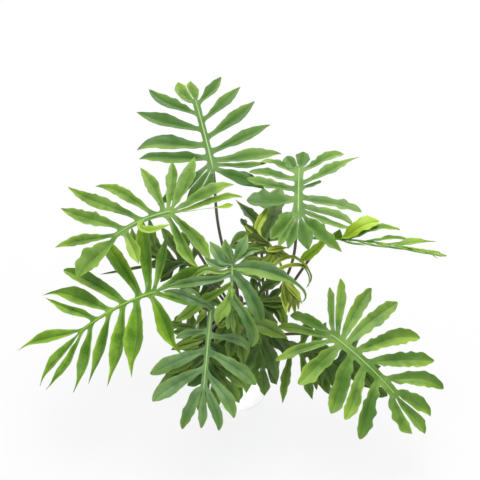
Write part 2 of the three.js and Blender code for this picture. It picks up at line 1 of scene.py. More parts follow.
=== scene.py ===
"""Potted philodendron mayoi, dressed and set up for the photograph's view.

A piece is shaped in millimetres and scaled to metres at its end. Plan points of a blade are (along the
rachis, across it, 0), and a height is measured from the blade's own plane.
"""

import logging
import math
import random
from bisect import bisect_right
from collections.abc import Iterator, Sequence
from dataclasses import dataclass, field
from enum import Enum

import bmesh
import bpy
from mathutils import Matrix, Vector, noise


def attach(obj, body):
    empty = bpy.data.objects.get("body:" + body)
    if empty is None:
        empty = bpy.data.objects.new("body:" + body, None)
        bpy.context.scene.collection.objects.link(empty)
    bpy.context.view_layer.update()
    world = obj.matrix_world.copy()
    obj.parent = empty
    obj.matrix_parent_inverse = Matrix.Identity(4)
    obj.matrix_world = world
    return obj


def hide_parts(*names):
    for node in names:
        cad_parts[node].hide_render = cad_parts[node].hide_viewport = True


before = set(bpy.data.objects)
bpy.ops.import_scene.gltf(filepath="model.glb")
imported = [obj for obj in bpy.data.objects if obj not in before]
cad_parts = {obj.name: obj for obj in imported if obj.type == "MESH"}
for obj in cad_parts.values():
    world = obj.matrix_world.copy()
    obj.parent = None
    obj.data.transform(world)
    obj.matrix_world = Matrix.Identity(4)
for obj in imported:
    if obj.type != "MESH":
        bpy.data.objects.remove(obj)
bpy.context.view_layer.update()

log = logging.getLogger("philodendron")
Colour = tuple[float, float, float]
Table = Sequence[tuple[float, float]]

MM = 0.001
SOIL_TOP = 99.0
SOIL_LUMP = 2.0
FIT = 0.3
UP = Vector((0, 0, 1))

# Wing of the rachis, and how the lobes stand on it
WING_SHARES = (0.97, 0.75, 0.5, 0.25, 0.1, 0)
WING_REACH = 3.4
WING_STEPS = 24
HUB_REACH = 6.5
HUB_SPREAD = 14.0
EDGE_SAMPLES = 240
ROOT_SHARE = 0.5
ROOT_LIMIT = 8.0
SINUS = 0.8
SINUS_STEP = 4.0
SPREADING_TURNS = 80
LOBE_GAP = 0.5
WEB_GAP = 0.05
LEAST_REACH = 1.2
LOBE_BOW = 0.03
USUAL_FOLD = 20.0

# Lobe mesh: columns from margin to margin, number of rows, and how close two points are one
LOBE_COLUMNS = (-1, -0.86, -0.6, -0.33, -0.1, 0, 0.1, 0.33, 0.6, 0.86, 1)
LOBE_ROWS = 32
SAME_POINT = 0.02

# Relief of a lobe, and how it opens at its root
ROOT_EASE = 0.15
ROOT_RAMP = 0.25
SINUS_FLARE = 3.0
SINUS_FADE = 2.2
CREASE = 0.6
GROOVE_DEPTH = 0.5
GROOVE_WIDTH = 1.1
BULGE = 0.09
SAG = 0.8
DENTS = 2.2
DENT_SCALE = 0.07
DENT_SHIFT = 40
BLADE_THICKNESS = 0.6

# Waves, notches and ruffles of the margins
WAVE_SHARE = 0.3
WAVE_RATE = 0.11
WAVE_SHIFT = 7
WAVE_SIDE = 0.8
FINE_WAVE_SHARE = 0.03
FINE_WAVE_RATE = 0.42
NOTCHES = 3
NOTCH_LENGTH = 3.0
RUFFLE_SHARE = 0.09
RUFFLE_RATE = 0.3

# Petioles, rachis and ribs
PETIOLE_RADIUS = 2.1
PETIOLE_STEPS = 40
PETIOLE_BITE = 1.0
PETIOLE_RISE = 0.34
PETIOLE_OUT_HIGH = 0.1
PETIOLE_OUT_LOW = 0.2
PETIOLE_BEND_AT = 0.3
PETIOLE_BEND_RISE = 0.05
SHEATH_RADIUS = 3.3
SHEATH_LENGTH = 24.0
RACHIS_RADIUS = 1.6
RACHIS_END_RADIUS = 0.8
RACHIS_RAISE = 0.3
RACHIS_DIP = 0.6
STALK_STEPS = 76
STALK_SIDES = 12
RIB_RADIUS = 0.75
RIB_TIP_RADIUS = 0.2
RIB_DEPTH = 0.1
RIB_LENGTH = 0.94
RIB_STEPS = 16
RIB_SIDES = 6
FULL_RIB_WIDTH = 18
ON_RIB = 3.0


class Tone(Enum):
    """Material slot of the record that a leaf takes its finish from."""

    MID_GREEN = "leaf_mid_green"
    BRIGHT_GREEN = "leaf_bright_green"
    BLUE_GREEN = "leaf_blue_green"
    DARK_GREEN = "leaf_dark_green"
    OLIVE = "leaf_olive"


class Outline(Enum):
    """Half width of a lobe from its root to its tip, as (share of the length, share of the width)."""

    POINTED = (
        (0, 0.5), (0.12, 0.46), (0.28, 0.64), (0.45, 0.93), (0.56, 1), (0.7, 0.86), (0.83, 0.56),
        (0.93, 0.25), (1, 0),
    )
    ROUNDED = (
        (0, 0.5), (0.12, 0.5), (0.3, 0.68), (0.5, 0.92), (0.65, 1), (0.8, 0.87), (0.91, 0.56), (0.98, 0.22),
        (1, 0),
    )
    WEBBED = (
        (0, 1.1), (0.15, 1.1), (0.35, 1.05), (0.55, 1), (0.7, 0.88), (0.83, 0.6), (0.93, 0.28), (1, 0),
    )
    FINGER = (
        (0, 1.5), (0.15, 1.4), (0.28, 1.1), (0.42, 0.95), (0.58, 1), (0.74, 0.88), (0.87, 0.56), (0.95, 0.3),
        (1, 0),
    )
    STRAP = (
        (0, 0.7), (0.12, 0.68), (0.3, 0.8), (0.5, 0.94), (0.66, 1), (0.8, 0.88), (0.91, 0.58), (0.98, 0.24),
        (1, 0),
    )
    TAILED = (
        (0, 0.4), (0.1, 0.44), (0.25, 0.66), (0.42, 0.95), (0.55, 1), (0.68, 0.72), (0.78, 0.38),
        (0.88, 0.17), (1, 0),
    )
    CURLED = (
        (0, 0.3), (0.07, 0.5), (0.18, 0.88), (0.32, 1), (0.46, 0.82), (0.57, 0.42), (0.68, 0.2), (0.85, 0.13),
        (1, 0),
    )
    THREAD = (
        (0, 0.3), (0.08, 0.12), (0.3, 0.09), (0.7, 0.1), (0.8, 0.5), (0.9, 1), (0.96, 0.7), (1, 0),
    )


def chosen(given: float | None, usual: float) -> float:
    """The given value, or the usual one where none is given."""
    return usual if given is None else given


def eased(value: float, full: float) -> float:
    """Share from 0 to 1, eased at both ends, as a value goes from 0 to full."""
    share = min(max(value / full, 0.0), 1.0)
    return share * share * (3 - 2 * share)


def read_table(table: Table, x: float) -> float:
    """Reads a table with a smooth curve between its points.

    Args:
        table: Pairs of x and y, in the order of x.
        x: Where to read it, within the table.

    Returns:
        The value y there.
    """
    last = len(table) - 1
    i = 0
    while i < last - 1 and x > table[i + 1][0]:
        i += 1

    def slope(k: int) -> float:
        """Slope of the curve at one point of the table."""
        low, high = table[max(k - 1, 0)], table[min(k + 1, last)]
        return (high[1] - low[1]) / (high[0] - low[0])

    (x0, y0), (x1, y1) = table[i], table[i + 1]
    span = x1 - x0
    t = (x - x0) / span
    blend = t * t * (3 - 2 * t)
    ends = y0 * (1 - blend) + y1 * blend
    return ends + span * t * (1 - t) * (slope(i) * (1 - t) - slope(i + 1) * t)


def wavering(along: float, v: float, phase: float) -> float:
    """Share by which a margin runs in and out at a distance from the root, about -0.5 to 0.5."""
    return noise.noise(Vector((WAVE_RATE * along, WAVE_SHIFT * phase, WAVE_SIDE * v)))


def row_share(row: int) -> float:
    """Share of a lobe's length at a row of its mesh, with the rows closest at both ends."""
    k = row / LOBE_ROWS
    return 0.4 * k + 0.3 * (1 - math.cos(math.pi * k))


def painted_side_tint(split: float, v: float) -> float:
    """Painted light and shade of a lobe's halves: more tint on its left half and less on its right, for the
    two sides of the fold.
    """
    return split * min(max(2 * v, -1), 1)


def folded_height(reach: float, half: float, v: float, fold: float) -> float:
    """Height of a lobe's fold, the groove of its midrib and its bulging halves.

    Args:
        reach: Distance from the midline.
        half: Half width of the lobe there.
        v: Share of the half width.
        fold: Angle of the fold.

    Returns:
        The height above the midline.
    """
    height = (math.sqrt(reach * reach + CREASE * CREASE) - CREASE) * math.tan(math.radians(fold))
    height -= GROOVE_DEPTH * math.exp(-(reach / GROOVE_WIDTH) ** 2)
    return height + BULGE * half * math.sin(math.pi * abs(v))


def ruffle_height(half: float, v: float, along: float, phase: float) -> float:
    """Height of the ruffles, which are strongest at the margin."""
    return RUFFLE_SHARE * half * abs(v) ** 3 * math.sin(RUFFLE_RATE * along + phase + 2 * v)


def spline_point(four: Sequence[Vector], share: float) -> Vector:
    """Point between the second and third of four points, on the centripetal Catmull-Rom curve.

    Args:
        four: Four points in order.
        share: 0 at the second point, 1 at the third.

    Returns:
        The point on the curve.
    """
    knots = [0.0]
    for start, end in zip(four, four[1:]):
        knots.append(knots[-1] + max((end - start).length, 1e-6) ** 0.5)
    where = knots[1] + share * (knots[2] - knots[1])

    def between(start: Vector, end: Vector, i: int, j: int) -> Vector:
        """Point on the line of two points for the knots i and j."""
        return start.lerp(end, (where - knots[i]) / (knots[j] - knots[i]))

    first, middle, last = (between(four[i], four[i + 1], i, i + 1) for i in range(3))
    return between(between(first, middle, 0, 2), between(middle, last, 1, 3), 1, 2)


def smooth_loop(corners: Sequence[Vector], steps: int) -> list[Vector]:
    """Close points on the smooth closed curve through the corners."""
    count = len(corners)
    points = []
    for i in range(count):
        four = [corners[(i + k) % count] for k in (-1, 0, 1, 2)]
        points.extend(spline_point(four, k / steps) for k in range(steps))
    return points


def smooth_line(corners: Sequence[Vector], steps: int) -> list[Vector]:
    """Close points on the smooth open curve through the corners."""
    padded = [2 * corners[0] - corners[1], *corners, 2 * corners[-1] - corners[-2]]
    points = []
    for i in range(len(corners) - 1):
        points.extend(spline_point(padded[i:i + 4], k / steps) for k in range(steps))
    return [*points, corners[-1].copy()]


class Route:
    """A path through close points, read by the distance along it."""

    def __init__(self, points: Sequence[Vector], closed: bool = False) -> None:
        """Keeps the points and their distances along the path.

        Args:
            points: Points of the path in order.
            closed: Whether the path runs back to its first point.
        """
        self.points = [*points, points[0]] if closed else list(points)
        self.closed = closed
        self.marks = [0.0]
        for start, end in zip(self.points, self.points[1:]):
            self.marks.append(self.marks[-1] + (end - start).length)
        self.length = self.marks[-1]

    def at(self, distance: float) -> Vector:
        """Point at a distance along the path.

        Args:
            distance: Distance from the start. It runs round on a closed path and is limited on an open one.

        Returns:
            The point there.
        """
        if self.closed:
            distance %= self.length
        distance = min(max(distance, 0.0), self.length)
        i = min(max(bisect_right(self.marks, distance) - 1, 0), len(self.points) - 2)
        step = self.marks[i + 1] - self.marks[i]
        share = (distance - self.marks[i]) / step if step else 0.0
        return self.points[i].lerp(self.points[i + 1], share)

    def spaced(self, count: int) -> list[Vector]:
        """Evenly spaced points from the start to the end."""
        return [self.at(self.length * i / count) for i in range(count + 1)]


class NodeTree:
    """Adds and joins the nodes of one material."""

    def __init__(self, name: str) -> None:
        """Starts a material with an empty tree.

        Args:
            name: Name of the material.
        """
        self.material = bpy.data.materials.new(name)
        self.material.use_nodes = True
        self.tree = self.material.node_tree
        self.tree.nodes.clear()
        self.output = self.tree.nodes.new("ShaderNodeOutputMaterial")

    def add(self, kind: str, inputs: dict | None = None, **settings: object) -> bpy.types.Node:
        """Adds one node.

        Args:
            kind: Blender's name of the node type.
            inputs: Socket to value or to the output socket that feeds it.
            settings: The node's own settings.

        Returns:
            The node.
        """
        node = self.tree.nodes.new(kind)
        for setting, value in settings.items():
            setattr(node, setting, value)
        for socket, value in (inputs or {}).items():
            self.feed(node.inputs[socket], value)
        return node

    def feed(self, socket: bpy.types.NodeSocket, value: object) -> None:
        """Joins an output socket to a socket, or sets the socket's value."""
        if isinstance(value, bpy.types.NodeSocket):
            self.tree.links.new(value, socket)
        elif isinstance(value, tuple) and socket.type == "RGBA":
            socket.default_value = (*value, 1)
        else:
            socket.default_value = value

    def math(self, operation: str, first: object, second: object = 0.0) -> bpy.types.NodeSocket:
        """Result of one sum on two numbers."""
        return self.add("ShaderNodeMath", {0: first, 1: second}, operation=operation).outputs[0]

    def times(self, first: object, second: object) -> bpy.types.NodeSocket:
        """Product of two numbers."""
        return self.math("MULTIPLY", first, second)

    def span(self, value: object, low: float, high: float, bottom: float = 0.0,
             top: float = 1.0) -> bpy.types.NodeSocket:
        """Maps a number smoothly from one range to another.

        Args:
            value: Number or output socket.
            low: Start of its range.
            high: End of its range.
            bottom: Result at the start.
            top: Result at the end.

        Returns:
            Socket with the result.
        """
        inputs = {0: value, 1: low, 2: high, 3: bottom, 4: top}
        return self.add("ShaderNodeMapRange", inputs, interpolation_type="SMOOTHSTEP").outputs[0]

    def mix(self, share: object, first: object, second: object, blend: str = "MIX") -> bpy.types.NodeSocket:
        """Mixes two colours.

        Args:
            share: Share of the second colour.
            first: First colour or socket.
            second: Second colour or socket.
            blend: Blender's name of the way of mixing.

        Returns:
            Socket with the mixed colour.
        """
        inputs = {0: share, 6: first, 7: second}
        return self.add("ShaderNodeMix", inputs, data_type="RGBA", blend_type=blend).outputs[2]

    def noise(self, scale: float, detail: float = 2.0, roughness: float = 0.5,
              place: object = None) -> bpy.types.NodeSocket:
        """Noise value at a place.

        Args:
            scale: Number of lumps in a metre.
            detail: Number of finer layers.
            roughness: Strength of the finer layers.
            place: Socket with the place, or None for the place on the object.

        Returns:
            Socket with a value from 0 to 1.
        """
        inputs = {"Vector": place or self.place(), "Scale": scale, "Detail": detail, "Roughness": roughness}
        return self.add("ShaderNodeTexNoise", inputs).outputs["Fac"]

    def attribute(self, name: str) -> bpy.types.Node:
        """Node that reads one attribute of the mesh."""
        return self.add("ShaderNodeAttribute", attribute_name=name)

    def place(self) -> bpy.types.NodeSocket:
        """Place on the object in metres."""
        return self.add("ShaderNodeTexCoord").outputs["Object"]

    def bump(self, height: object, strength: float, distance: float,
             below: bpy.types.NodeSocket | None = None) -> bpy.types.NodeSocket:
        """Normal with a relief.

        Args:
            height: Socket with the relief's height from 0 to 1.
            strength: Strength of the relief.
            distance: Depth of the relief in metres.
            below: Normal of a coarser relief that this one lies on.

        Returns:
            Socket with the normal.
        """
        inputs = {"Height": height, "Strength": strength, "Distance": distance}
        if below:
            inputs["Normal"] = below
        return self.add("ShaderNodeBump", inputs).outputs["Normal"]

    def finish(self, shader: bpy.types.NodeSocket) -> bpy.types.Material:
        """Joins the last shader to the output and hands over the material."""
        self.tree.links.new(shader, self.output.inputs["Surface"])
        return self.material

    def coated(self, inputs: dict) -> bpy.types.Material:
        """Ends the material with one surface shader of the given inputs."""
        return self.finish(self.add("ShaderNodeBsdfPrincipled", inputs).outputs[0])


@dataclass(frozen=True)
class LeafFinish:
    """Living leaf: mottled green with pale side veins, lighter margins and a painted shade colour."""

    name: str
    deep: Colour
    light: Colour
    margin: Colour
    glow: Colour
    # fold: painted shade colour, laid along the midrib groove and over lobes whose tint is below 0
    fold: Colour
    vein: Colour = (0.2, 0.36, 0.1)
    roughness: float = 0.45
    translucence: float = 0.3
    vein_share: float = 0.3
    vein_spacing: float = 3.6
    vein_slant: float = 0.9
    vein_wobble: float = 2.2
    # Share of the painted shade colour along the midrib groove
    groove_shade_share: float = 0.5
    root_share: float = 0.15

    def side_veins(self, nodes: NodeTree, across: bpy.types.NodeSocket,
                   along: bpy.types.NodeSocket) -> bpy.types.NodeSocket:
        """Pattern of the side veins, which slant from the midrib towards the tip.

        Args:
            nodes: Tree of the material.
            across: Distance from the midrib in millimetres.
            along: Distance from the root of the lobe.

        Returns:
            Socket that is 1 on a vein and 0 between them.
        """
        slant = nodes.math("SUBTRACT", along, nodes.times(across, self.vein_slant))
        slant = nodes.math("ADD", slant, nodes.times(nodes.noise(90, 1), self.vein_wobble))
        ridges = nodes.math("SINE", nodes.times(slant, 2 * math.pi / self.vein_spacing))
        return nodes.times(nodes.span(ridges, 0.55, 1.0), nodes.span(across, 0.8, 2.2))

    def material(self) -> bpy.types.Material:
        """Builds the node material.

        Returns:
            The material, which reads the attributes lobe, tint and reach of the blade.
        """
        nodes = NodeTree(self.name)
        lobe = nodes.add("ShaderNodeSeparateXYZ", {0: nodes.attribute("lobe").outputs["Vector"]})
        across, along, edge = lobe.outputs
        across = nodes.math("ABSOLUTE", across)
        veins = self.side_veins(nodes, across, along)
        # Painted shade: the fold colour along the midrib's groove, coming in over the first 5 mm from the
        # root
        midrib = nodes.times(nodes.span(across, 0.35, 1.3, self.groove_shade_share, 0), nodes.span(along, 0.0, 5.0))
        reach = nodes.attribute("reach").outputs["Fac"]
        tint_and_painted_light = nodes.attribute("tint_and_painted_light").outputs["Fac"]
        mottling = nodes.noise(38, 3, 0.6)
        patches = nodes.span(nodes.noise(21), 0.36, 0.6, 0.3, 1)

        colour = nodes.mix(nodes.span(mottling, 0.3, 0.7), self.deep, self.light)
        layers = [
            (nodes.span(reach, 0.4, 0.0, 0.0, self.root_share), self.vein),
            (nodes.times(nodes.span(reach, 0.5, 1.0, 0.0, 0.6), patches), self.margin),
            (nodes.times(nodes.span(edge, 0.6, 1.0, 0.0, 0.6), patches), self.margin),
            # Painted shade towards the fold colour where the tint is below 0, and the lighter margin colour
            # where it is above 0
            (nodes.span(tint_and_painted_light, 0.0, -1.0), self.fold),
            (nodes.span(tint_and_painted_light, 0.0, 1.0), self.margin),
            (nodes.times(veins, self.vein_share), self.vein),
            (midrib, self.fold),
        ]
        for share, over in layers:
            colour = nodes.mix(share, colour, over)

        dents = nodes.bump(nodes.noise(95), 0.55, 0.002)
        relief = nodes.math("ADD", nodes.times(veins, -0.6), nodes.times(nodes.noise(900), 0.25))
        normal = nodes.bump(relief, 0.6, 0.0004, dents)
        gloss = nodes.span(mottling, 0.25, 0.75, self.roughness - 0.06, self.roughness + 0.1)
        surface = nodes.add("ShaderNodeBsdfPrincipled", {
            "Base Color": colour, "Roughness": gloss, "Normal": normal, "Specular IOR Level": 0.5,
            "Sheen Weight": 0.12, "Sheen Roughness": 0.45,
        })
        through = nodes.add("ShaderNodeBsdfTranslucent", {
            "Color": nodes.mix(0.7, colour, self.glow), "Normal": normal,
        })
        both = nodes.add("ShaderNodeMixShader", {
            0: self.translucence, 1: surface.outputs[0], 2: through.outputs[0],
        })
        return nodes.finish(both.outputs[0])


@dataclass(frozen=True)
class StalkFinish:
    """Petiole and rachis: dark towards the stem and pale green in the blade."""

    name: str
    foot: Colour
    petiole: Colour
    rachis: Colour
    rib: Colour

    def material(self) -> bpy.types.Material:
        """Builds the node material.

        Returns:
            The material, which reads the attribute along: 0 at the stem, 1 at the hub, 2 at the rachis end
            and 3 on the ribs of the lobes.
        """
        nodes = NodeTree(self.name)
        along = nodes.attribute("along").outputs["Fac"]
        streaks = nodes.noise(160, 3, 0.6)
        colour = nodes.mix(nodes.span(along, 0.0, 0.3), self.foot, self.petiole)
        colour = nodes.mix(nodes.span(along, 0.86, 1.12), colour, self.rachis)
        colour = nodes.mix(nodes.span(along, 2.2, 2.9), colour, self.rib)
        shade = nodes.mix(0.5, colour, (0.03, 0.03, 0.02), "MULTIPLY")
        colour = nodes.mix(nodes.span(streaks, 0.5, 0.8, 0, 0.35), colour, shade)
        return nodes.coated({
            "Base Color": colour, "Roughness": 0.4, "Specular IOR Level": 0.45,
            "Normal": nodes.bump(nodes.noise(420), 0.3, 0.0003),
        })


@dataclass(frozen=True)
class EarthyFinish:
    """Dull natural surface of two mixed colours with a rough relief."""

    name: str
    dark: Colour
    pale: Colour
    lumps: float
    roughness: float
    relief: float
    stretch: Colour = (1, 1, 1)

    def material(self) -> bpy.types.Material:
        """Builds the node material.

        Returns:
            The material. Its lumps are stretched along the axes by the shares in stretch.
        """
        nodes = NodeTree(self.name)
        place = nodes.add("ShaderNodeMapping", {0: nodes.place(), "Scale": self.stretch}).outputs[0]
        coarse = nodes.noise(self.lumps, 5, 0.65, place)
        fine = nodes.noise(self.lumps * 6, 3, 0.6, place)
        both = nodes.math("ADD", nodes.times(coarse, 0.65), nodes.times(fine, 0.35))
        return nodes.coated({
            "Base Color": nodes.mix(nodes.span(both, 0.36, 0.66), self.dark, self.pale),
            "Roughness": self.roughness, "Specular IOR Level": 0.25,
            "Normal": nodes.bump(both, 0.8, self.relief),
        })


@dataclass(frozen=True)
class PotFinish:
    """Plain white satin ceramic."""

    name: str
    white: Colour
    shade: Colour

    def material(self) -> bpy.types.Material:
        """Builds the node material."""
        nodes = NodeTree(self.name)
        clouds = nodes.noise(14, 4, 0.6)
        return nodes.coated({
            "Base Color": nodes.mix(nodes.span(clouds, 0.3, 0.75), self.white, self.shade),
            "Roughness": nodes.span(clouds, 0.3, 0.7, 0.28, 0.36),
            "Coat Weight": 0.2, "Coat Roughness": 0.15,
            "Normal": nodes.bump(nodes.noise(55, 3), 0.15, 0.0004),
        })


@dataclass(frozen=True)
class FloorFinish:
    """Plain pale studio floor, lit from within as an overexposed white sweep is."""

    name: str
    pale: Colour
    glow: Colour
    strength: float

    def material(self) -> bpy.types.Material:
        """Builds the node material."""
        return NodeTree(self.name).coated({
            "Base Color": self.pale, "Roughness": 0.9, "Specular IOR Level": 0.1,
            "Emission Color": self.glow, "Emission Strength": self.strength,
        })


FINISHES = {
    Tone.MID_GREEN: LeafFinish(
        "mid_green_leaf", (0.085, 0.2, 0.012), (0.25, 0.42, 0.07), (0.44, 0.64, 0.05), (0.36, 0.66, 0.02),
        (0.045, 0.14, 0.008), groove_shade_share=0.25),
    Tone.BRIGHT_GREEN: LeafFinish(
        "bright_green_leaf", (0.08, 0.215, 0.004), (0.25, 0.46, 0.03), (0.48, 0.68, 0.02), (0.42, 0.75, 0.01),
        (0.035, 0.13, 0.002)),
    Tone.BLUE_GREEN: LeafFinish(
        "blue_green_leaf", (0.085, 0.195, 0.055), (0.245, 0.41, 0.17), (0.27, 0.44, 0.055),
        (0.29, 0.52, 0.06), (0.045, 0.13, 0.015), groove_shade_share=0.35),
    # Dark green of the inner and low leaves: partly their own tone, partly painted shade of the plant's
    # inside
    Tone.DARK_GREEN: LeafFinish(
        "dark_green_leaf_painted_shade", (0.04, 0.095, 0.008), (0.145, 0.235, 0.03), (0.26, 0.42, 0.04), (0.22, 0.46, 0.02),
        (0.018, 0.06, 0.008)),
    Tone.OLIVE: LeafFinish(
        "olive_leaf", (0.22, 0.3, 0.006), (0.4, 0.5, 0.03), (0.6, 0.7, 0.08), (0.6, 0.74, 0.03),
        (0.06, 0.09, 0.005)),
}
UNDERSIDE = LeafFinish(
    "leaf_underside", (0.11, 0.24, 0.07), (0.17, 0.33, 0.11), (0.23, 0.4, 0.1), (0.3, 0.55, 0.03),
    (0.19, 0.36, 0.11), roughness=0.6, vein_share=0.15)
RACHIS_COLOURS = {
    Tone.MID_GREEN: (0.27, 0.44, 0.14),
    Tone.BRIGHT_GREEN: (0.25, 0.46, 0.06),
    Tone.BLUE_GREEN: (0.32, 0.48, 0.15),
    Tone.DARK_GREEN: (0.14, 0.26, 0.07),
    Tone.OLIVE: (0.36, 0.42, 0.12),
}
STALKS = {
    tone: StalkFinish(f"stalk_{tone.name.lower()}", (0.13, 0.16, 0.05), (0.1, 0.085, 0.06), rachis,
                      (0.2, 0.34, 0.12))
    for tone, rachis in RACHIS_COLOURS.items()
}
POT = PotFinish("white_glaze", (0.93, 0.93, 0.92), (0.9, 0.9, 0.89))
SOIL = EarthyFinish("potting_mix", (0.018, 0.012, 0.008), (0.07, 0.048, 0.03), 160, 0.95, 0.002)
BARK = EarthyFinish("bark_chips", (0.05, 0.03, 0.018), (0.16, 0.1, 0.055), 220, 0.9, 0.001)
PERLITE = EarthyFinish("perlite", (0.5, 0.48, 0.44), (0.72, 0.7, 0.66), 300, 0.9, 0.0005)
STEM = EarthyFinish("stem_skin", (0.09, 0.07, 0.035), (0.22, 0.2, 0.09), 130, 0.6, 0.0008, (1, 1, 0.4))
DRY_SHEATH = EarthyFinish(
    "dry_papery_sheath", (0.2, 0.12, 0.06), (0.5, 0.38, 0.22), 260, 0.8, 0.0006, (1, 1, 0.12))
FLOOR = FloorFinish("studio_floor", (0.1, 0.1, 0.1), (0.995, 0.995, 1.0), 0.83)


class Workshop:
    """Turns finished meshes into pieces, and keeps one material of each finish."""

    def __init__(self) -> None:
        """Starts with no materials."""
        self.materials: dict[str, bpy.types.Material] = {}

    def material(self, finish: object) -> bpy.types.Material:
        """Material of a finish, built once."""
        if finish.name not in self.materials:
            self.materials[finish.name] = finish.material()
        return self.materials[finish.name]

    def piece(self, name: str, mesh: bmesh.types.BMesh, finishes: Sequence[object], slot: str | None,
              replaces: str | None = None) -> bpy.types.Object:
        """Makes the object of a piece and lets it ride on the plant.

        Args:
            name: Name of the piece.
            mesh: Its mesh in millimetres, which is freed.
            finishes: One finish for each material slot of the mesh.
            slot: Slot of the record for a piece of the plant, which is then attached to the plant's root, or
                None for the studio.
            replaces: CAD node that the piece stands for, if any.

        Returns:
            The object.
        """
        bmesh.ops.scale(mesh, vec=(MM, MM, MM), verts=mesh.verts)
        for face in mesh.faces:
            face.smooth = True
        data = bpy.data.meshes.new(name)
        mesh.to_mesh(data)
        mesh.free()
        for finish in finishes:
            data.materials.append(self.material(finish))
        thing = bpy.data.objects.new(name, data)
        bpy.context.scene.collection.objects.link(thing)
        if slot:
            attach(thing, "root")
        if replaces:
            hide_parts(replaces)
        log.info("%s: %d faces", name, len(data.polygons))
        return thing


def thicken(thing: bpy.types.Object, thickness: float, lower_finish: int = 0) -> None:
    """Gives a sheet its thickness below its surface.

    Args:
        thing: The sheet.
        thickness: Thickness in millimetres.
        lower_finish: How many material slots further the lower side's finish is.
    """
    wall = thing.modifiers.new("thickness", "SOLIDIFY")
    wall.thickness = thickness * MM
    wall.offset = -1
    wall.material_offset = lower_finish


def sweep(mesh: bmesh.types.BMesh, path: Sequence[Vector], radii: Sequence[float], sides: int,
          marks: Sequence[float] | None = None) -> None:
    """Draws a round tube with closed ends along a path.

    Args:
        mesh: Mesh that the tube is added to.
        path: Points of the tube's middle.
        radii: Radius at each point.
        sides: Number of sides.
        marks: Value of the attribute along at each point, if the mesh has one.
    """
    layer = mesh.verts.layers.float.get("along")

    def mark(ring: Sequence[bmesh.types.BMVert], i: int) -> None:
        """Writes the attribute on one ring."""
        if layer and marks:
            for vertex in ring:
                vertex[layer] = marks[i]

    last = len(path) - 1
    ways = [(path[min(i + 1, last)] - path[max(i - 1, 0)]).normalized() for i in range(last + 1)]
    turn = UP.rotation_difference(ways[0]).to_matrix().to_4x4()
    ring = bmesh.ops.create_circle(mesh, cap_ends=True, segments=sides, radius=radii[0])["verts"]
    bmesh.ops.transform(mesh, matrix=Matrix.Translation(path[0]) @ turn, verts=ring)
    mark(ring, 0)
    edges = list({edge for vertex in ring for edge in vertex.link_edges})
    for i in range(1, len(path)):
        made = bmesh.ops.extrude_edge_only(mesh, edges=edges)["geom"]
        ring = [item for item in made if isinstance(item, bmesh.types.BMVert)]
        edges = [item for item in made if isinstance(item, bmesh.types.BMEdge)]
        edges = [edge for edge in edges if all(end in ring for end in edge.verts)]
        turn = ways[i - 1].rotation_difference(ways[i]).to_matrix().to_4x4()
        grow = Matrix.Scale(radii[i] / radii[i - 1], 4)
        move = Matrix.Translation(path[i]) @ turn @ grow @ Matrix.Translation(-path[i - 1])
        bmesh.ops.transform(mesh, matrix=move, verts=ring)
        mark(ring, i)
    bmesh.ops.contextual_create(mesh, geom=edges)


@dataclass
class Stem:
    """One short stem with the knuckles where old leaves grew."""

    name: str
    foot: tuple[float, float]
    lean: tuple[float, float]
    height: float
    radius: float
    foot_depth: float = 32.0
    foot_taper: float = 8.0
    foot_narrowing: float = 0.2
    knuckles: tuple[float, ...] = (0.2, 0.45, 0.7)
    knuckle_swell: float = 0.12
    knuckle_length: float = 2.2
    dome: float = 6.0
    unevenness: float = 0.06
    rows: int = 64
    sides: int = 24

    def axis(self, height: float) -> Vector:
        """Point on the stem's axis at a height above the pot's underside."""
        share = (height - SOIL_TOP) / self.height
        return Vector((self.foot[0] + self.lean[0] * share, self.foot[1] + self.lean[1] * share, height))

    def radius_at(self, height: float) -> float:
        """Radius at a height above the soil."""
        gaps = [(height - share * self.height) / self.knuckle_length for share in self.knuckles]
        swell = self.knuckle_swell * sum(math.exp(-gap ** 2) for gap in gaps)
        foot = 1 - self.foot_narrowing * eased(self.foot_taper - self.foot_depth - height, self.foot_taper)
        rise = max(height - self.height + self.dome, 0) / (1.05 * self.dome)
        return self.radius * (1 + swell) * foot * math.sqrt(max(1 - rise ** 2, 0.02))

    def build(self, shop: Workshop) -> None:
        """Builds the stem.

        Args:
            shop: Workshop that makes the piece.
        """
        step = (self.height + self.foot_depth) / self.rows
        heights = [step * i - self.foot_depth for i in range(self.rows + 1)]
        mesh = bmesh.new()
        path = [self.axis(SOIL_TOP + height) for height in heights]
        sweep(mesh, path, [self.radius_at(height) for height in heights], self.sides)
        for vertex in mesh.verts:
            out = vertex.co - self.axis(vertex.co.z)
            vertex.co += out * self.unevenness * noise.noise(vertex.co * 0.16)
        bmesh.ops.recalc_face_normals(mesh, faces=mesh.faces)
        shop.piece(self.name.replace("stem", "living_stem"), mesh, [STEM], "stem", self.name)


STEMS = {
    "stem_tall": Stem("stem_tall", (8, 4), (-4, 3), 86, 6.5),
    "stem_right": Stem("stem_right", (40, 12), (5, 2), 76, 6),
    "stem_front": Stem("stem_front", (24, -26), (2, -3), 50, 6),
}


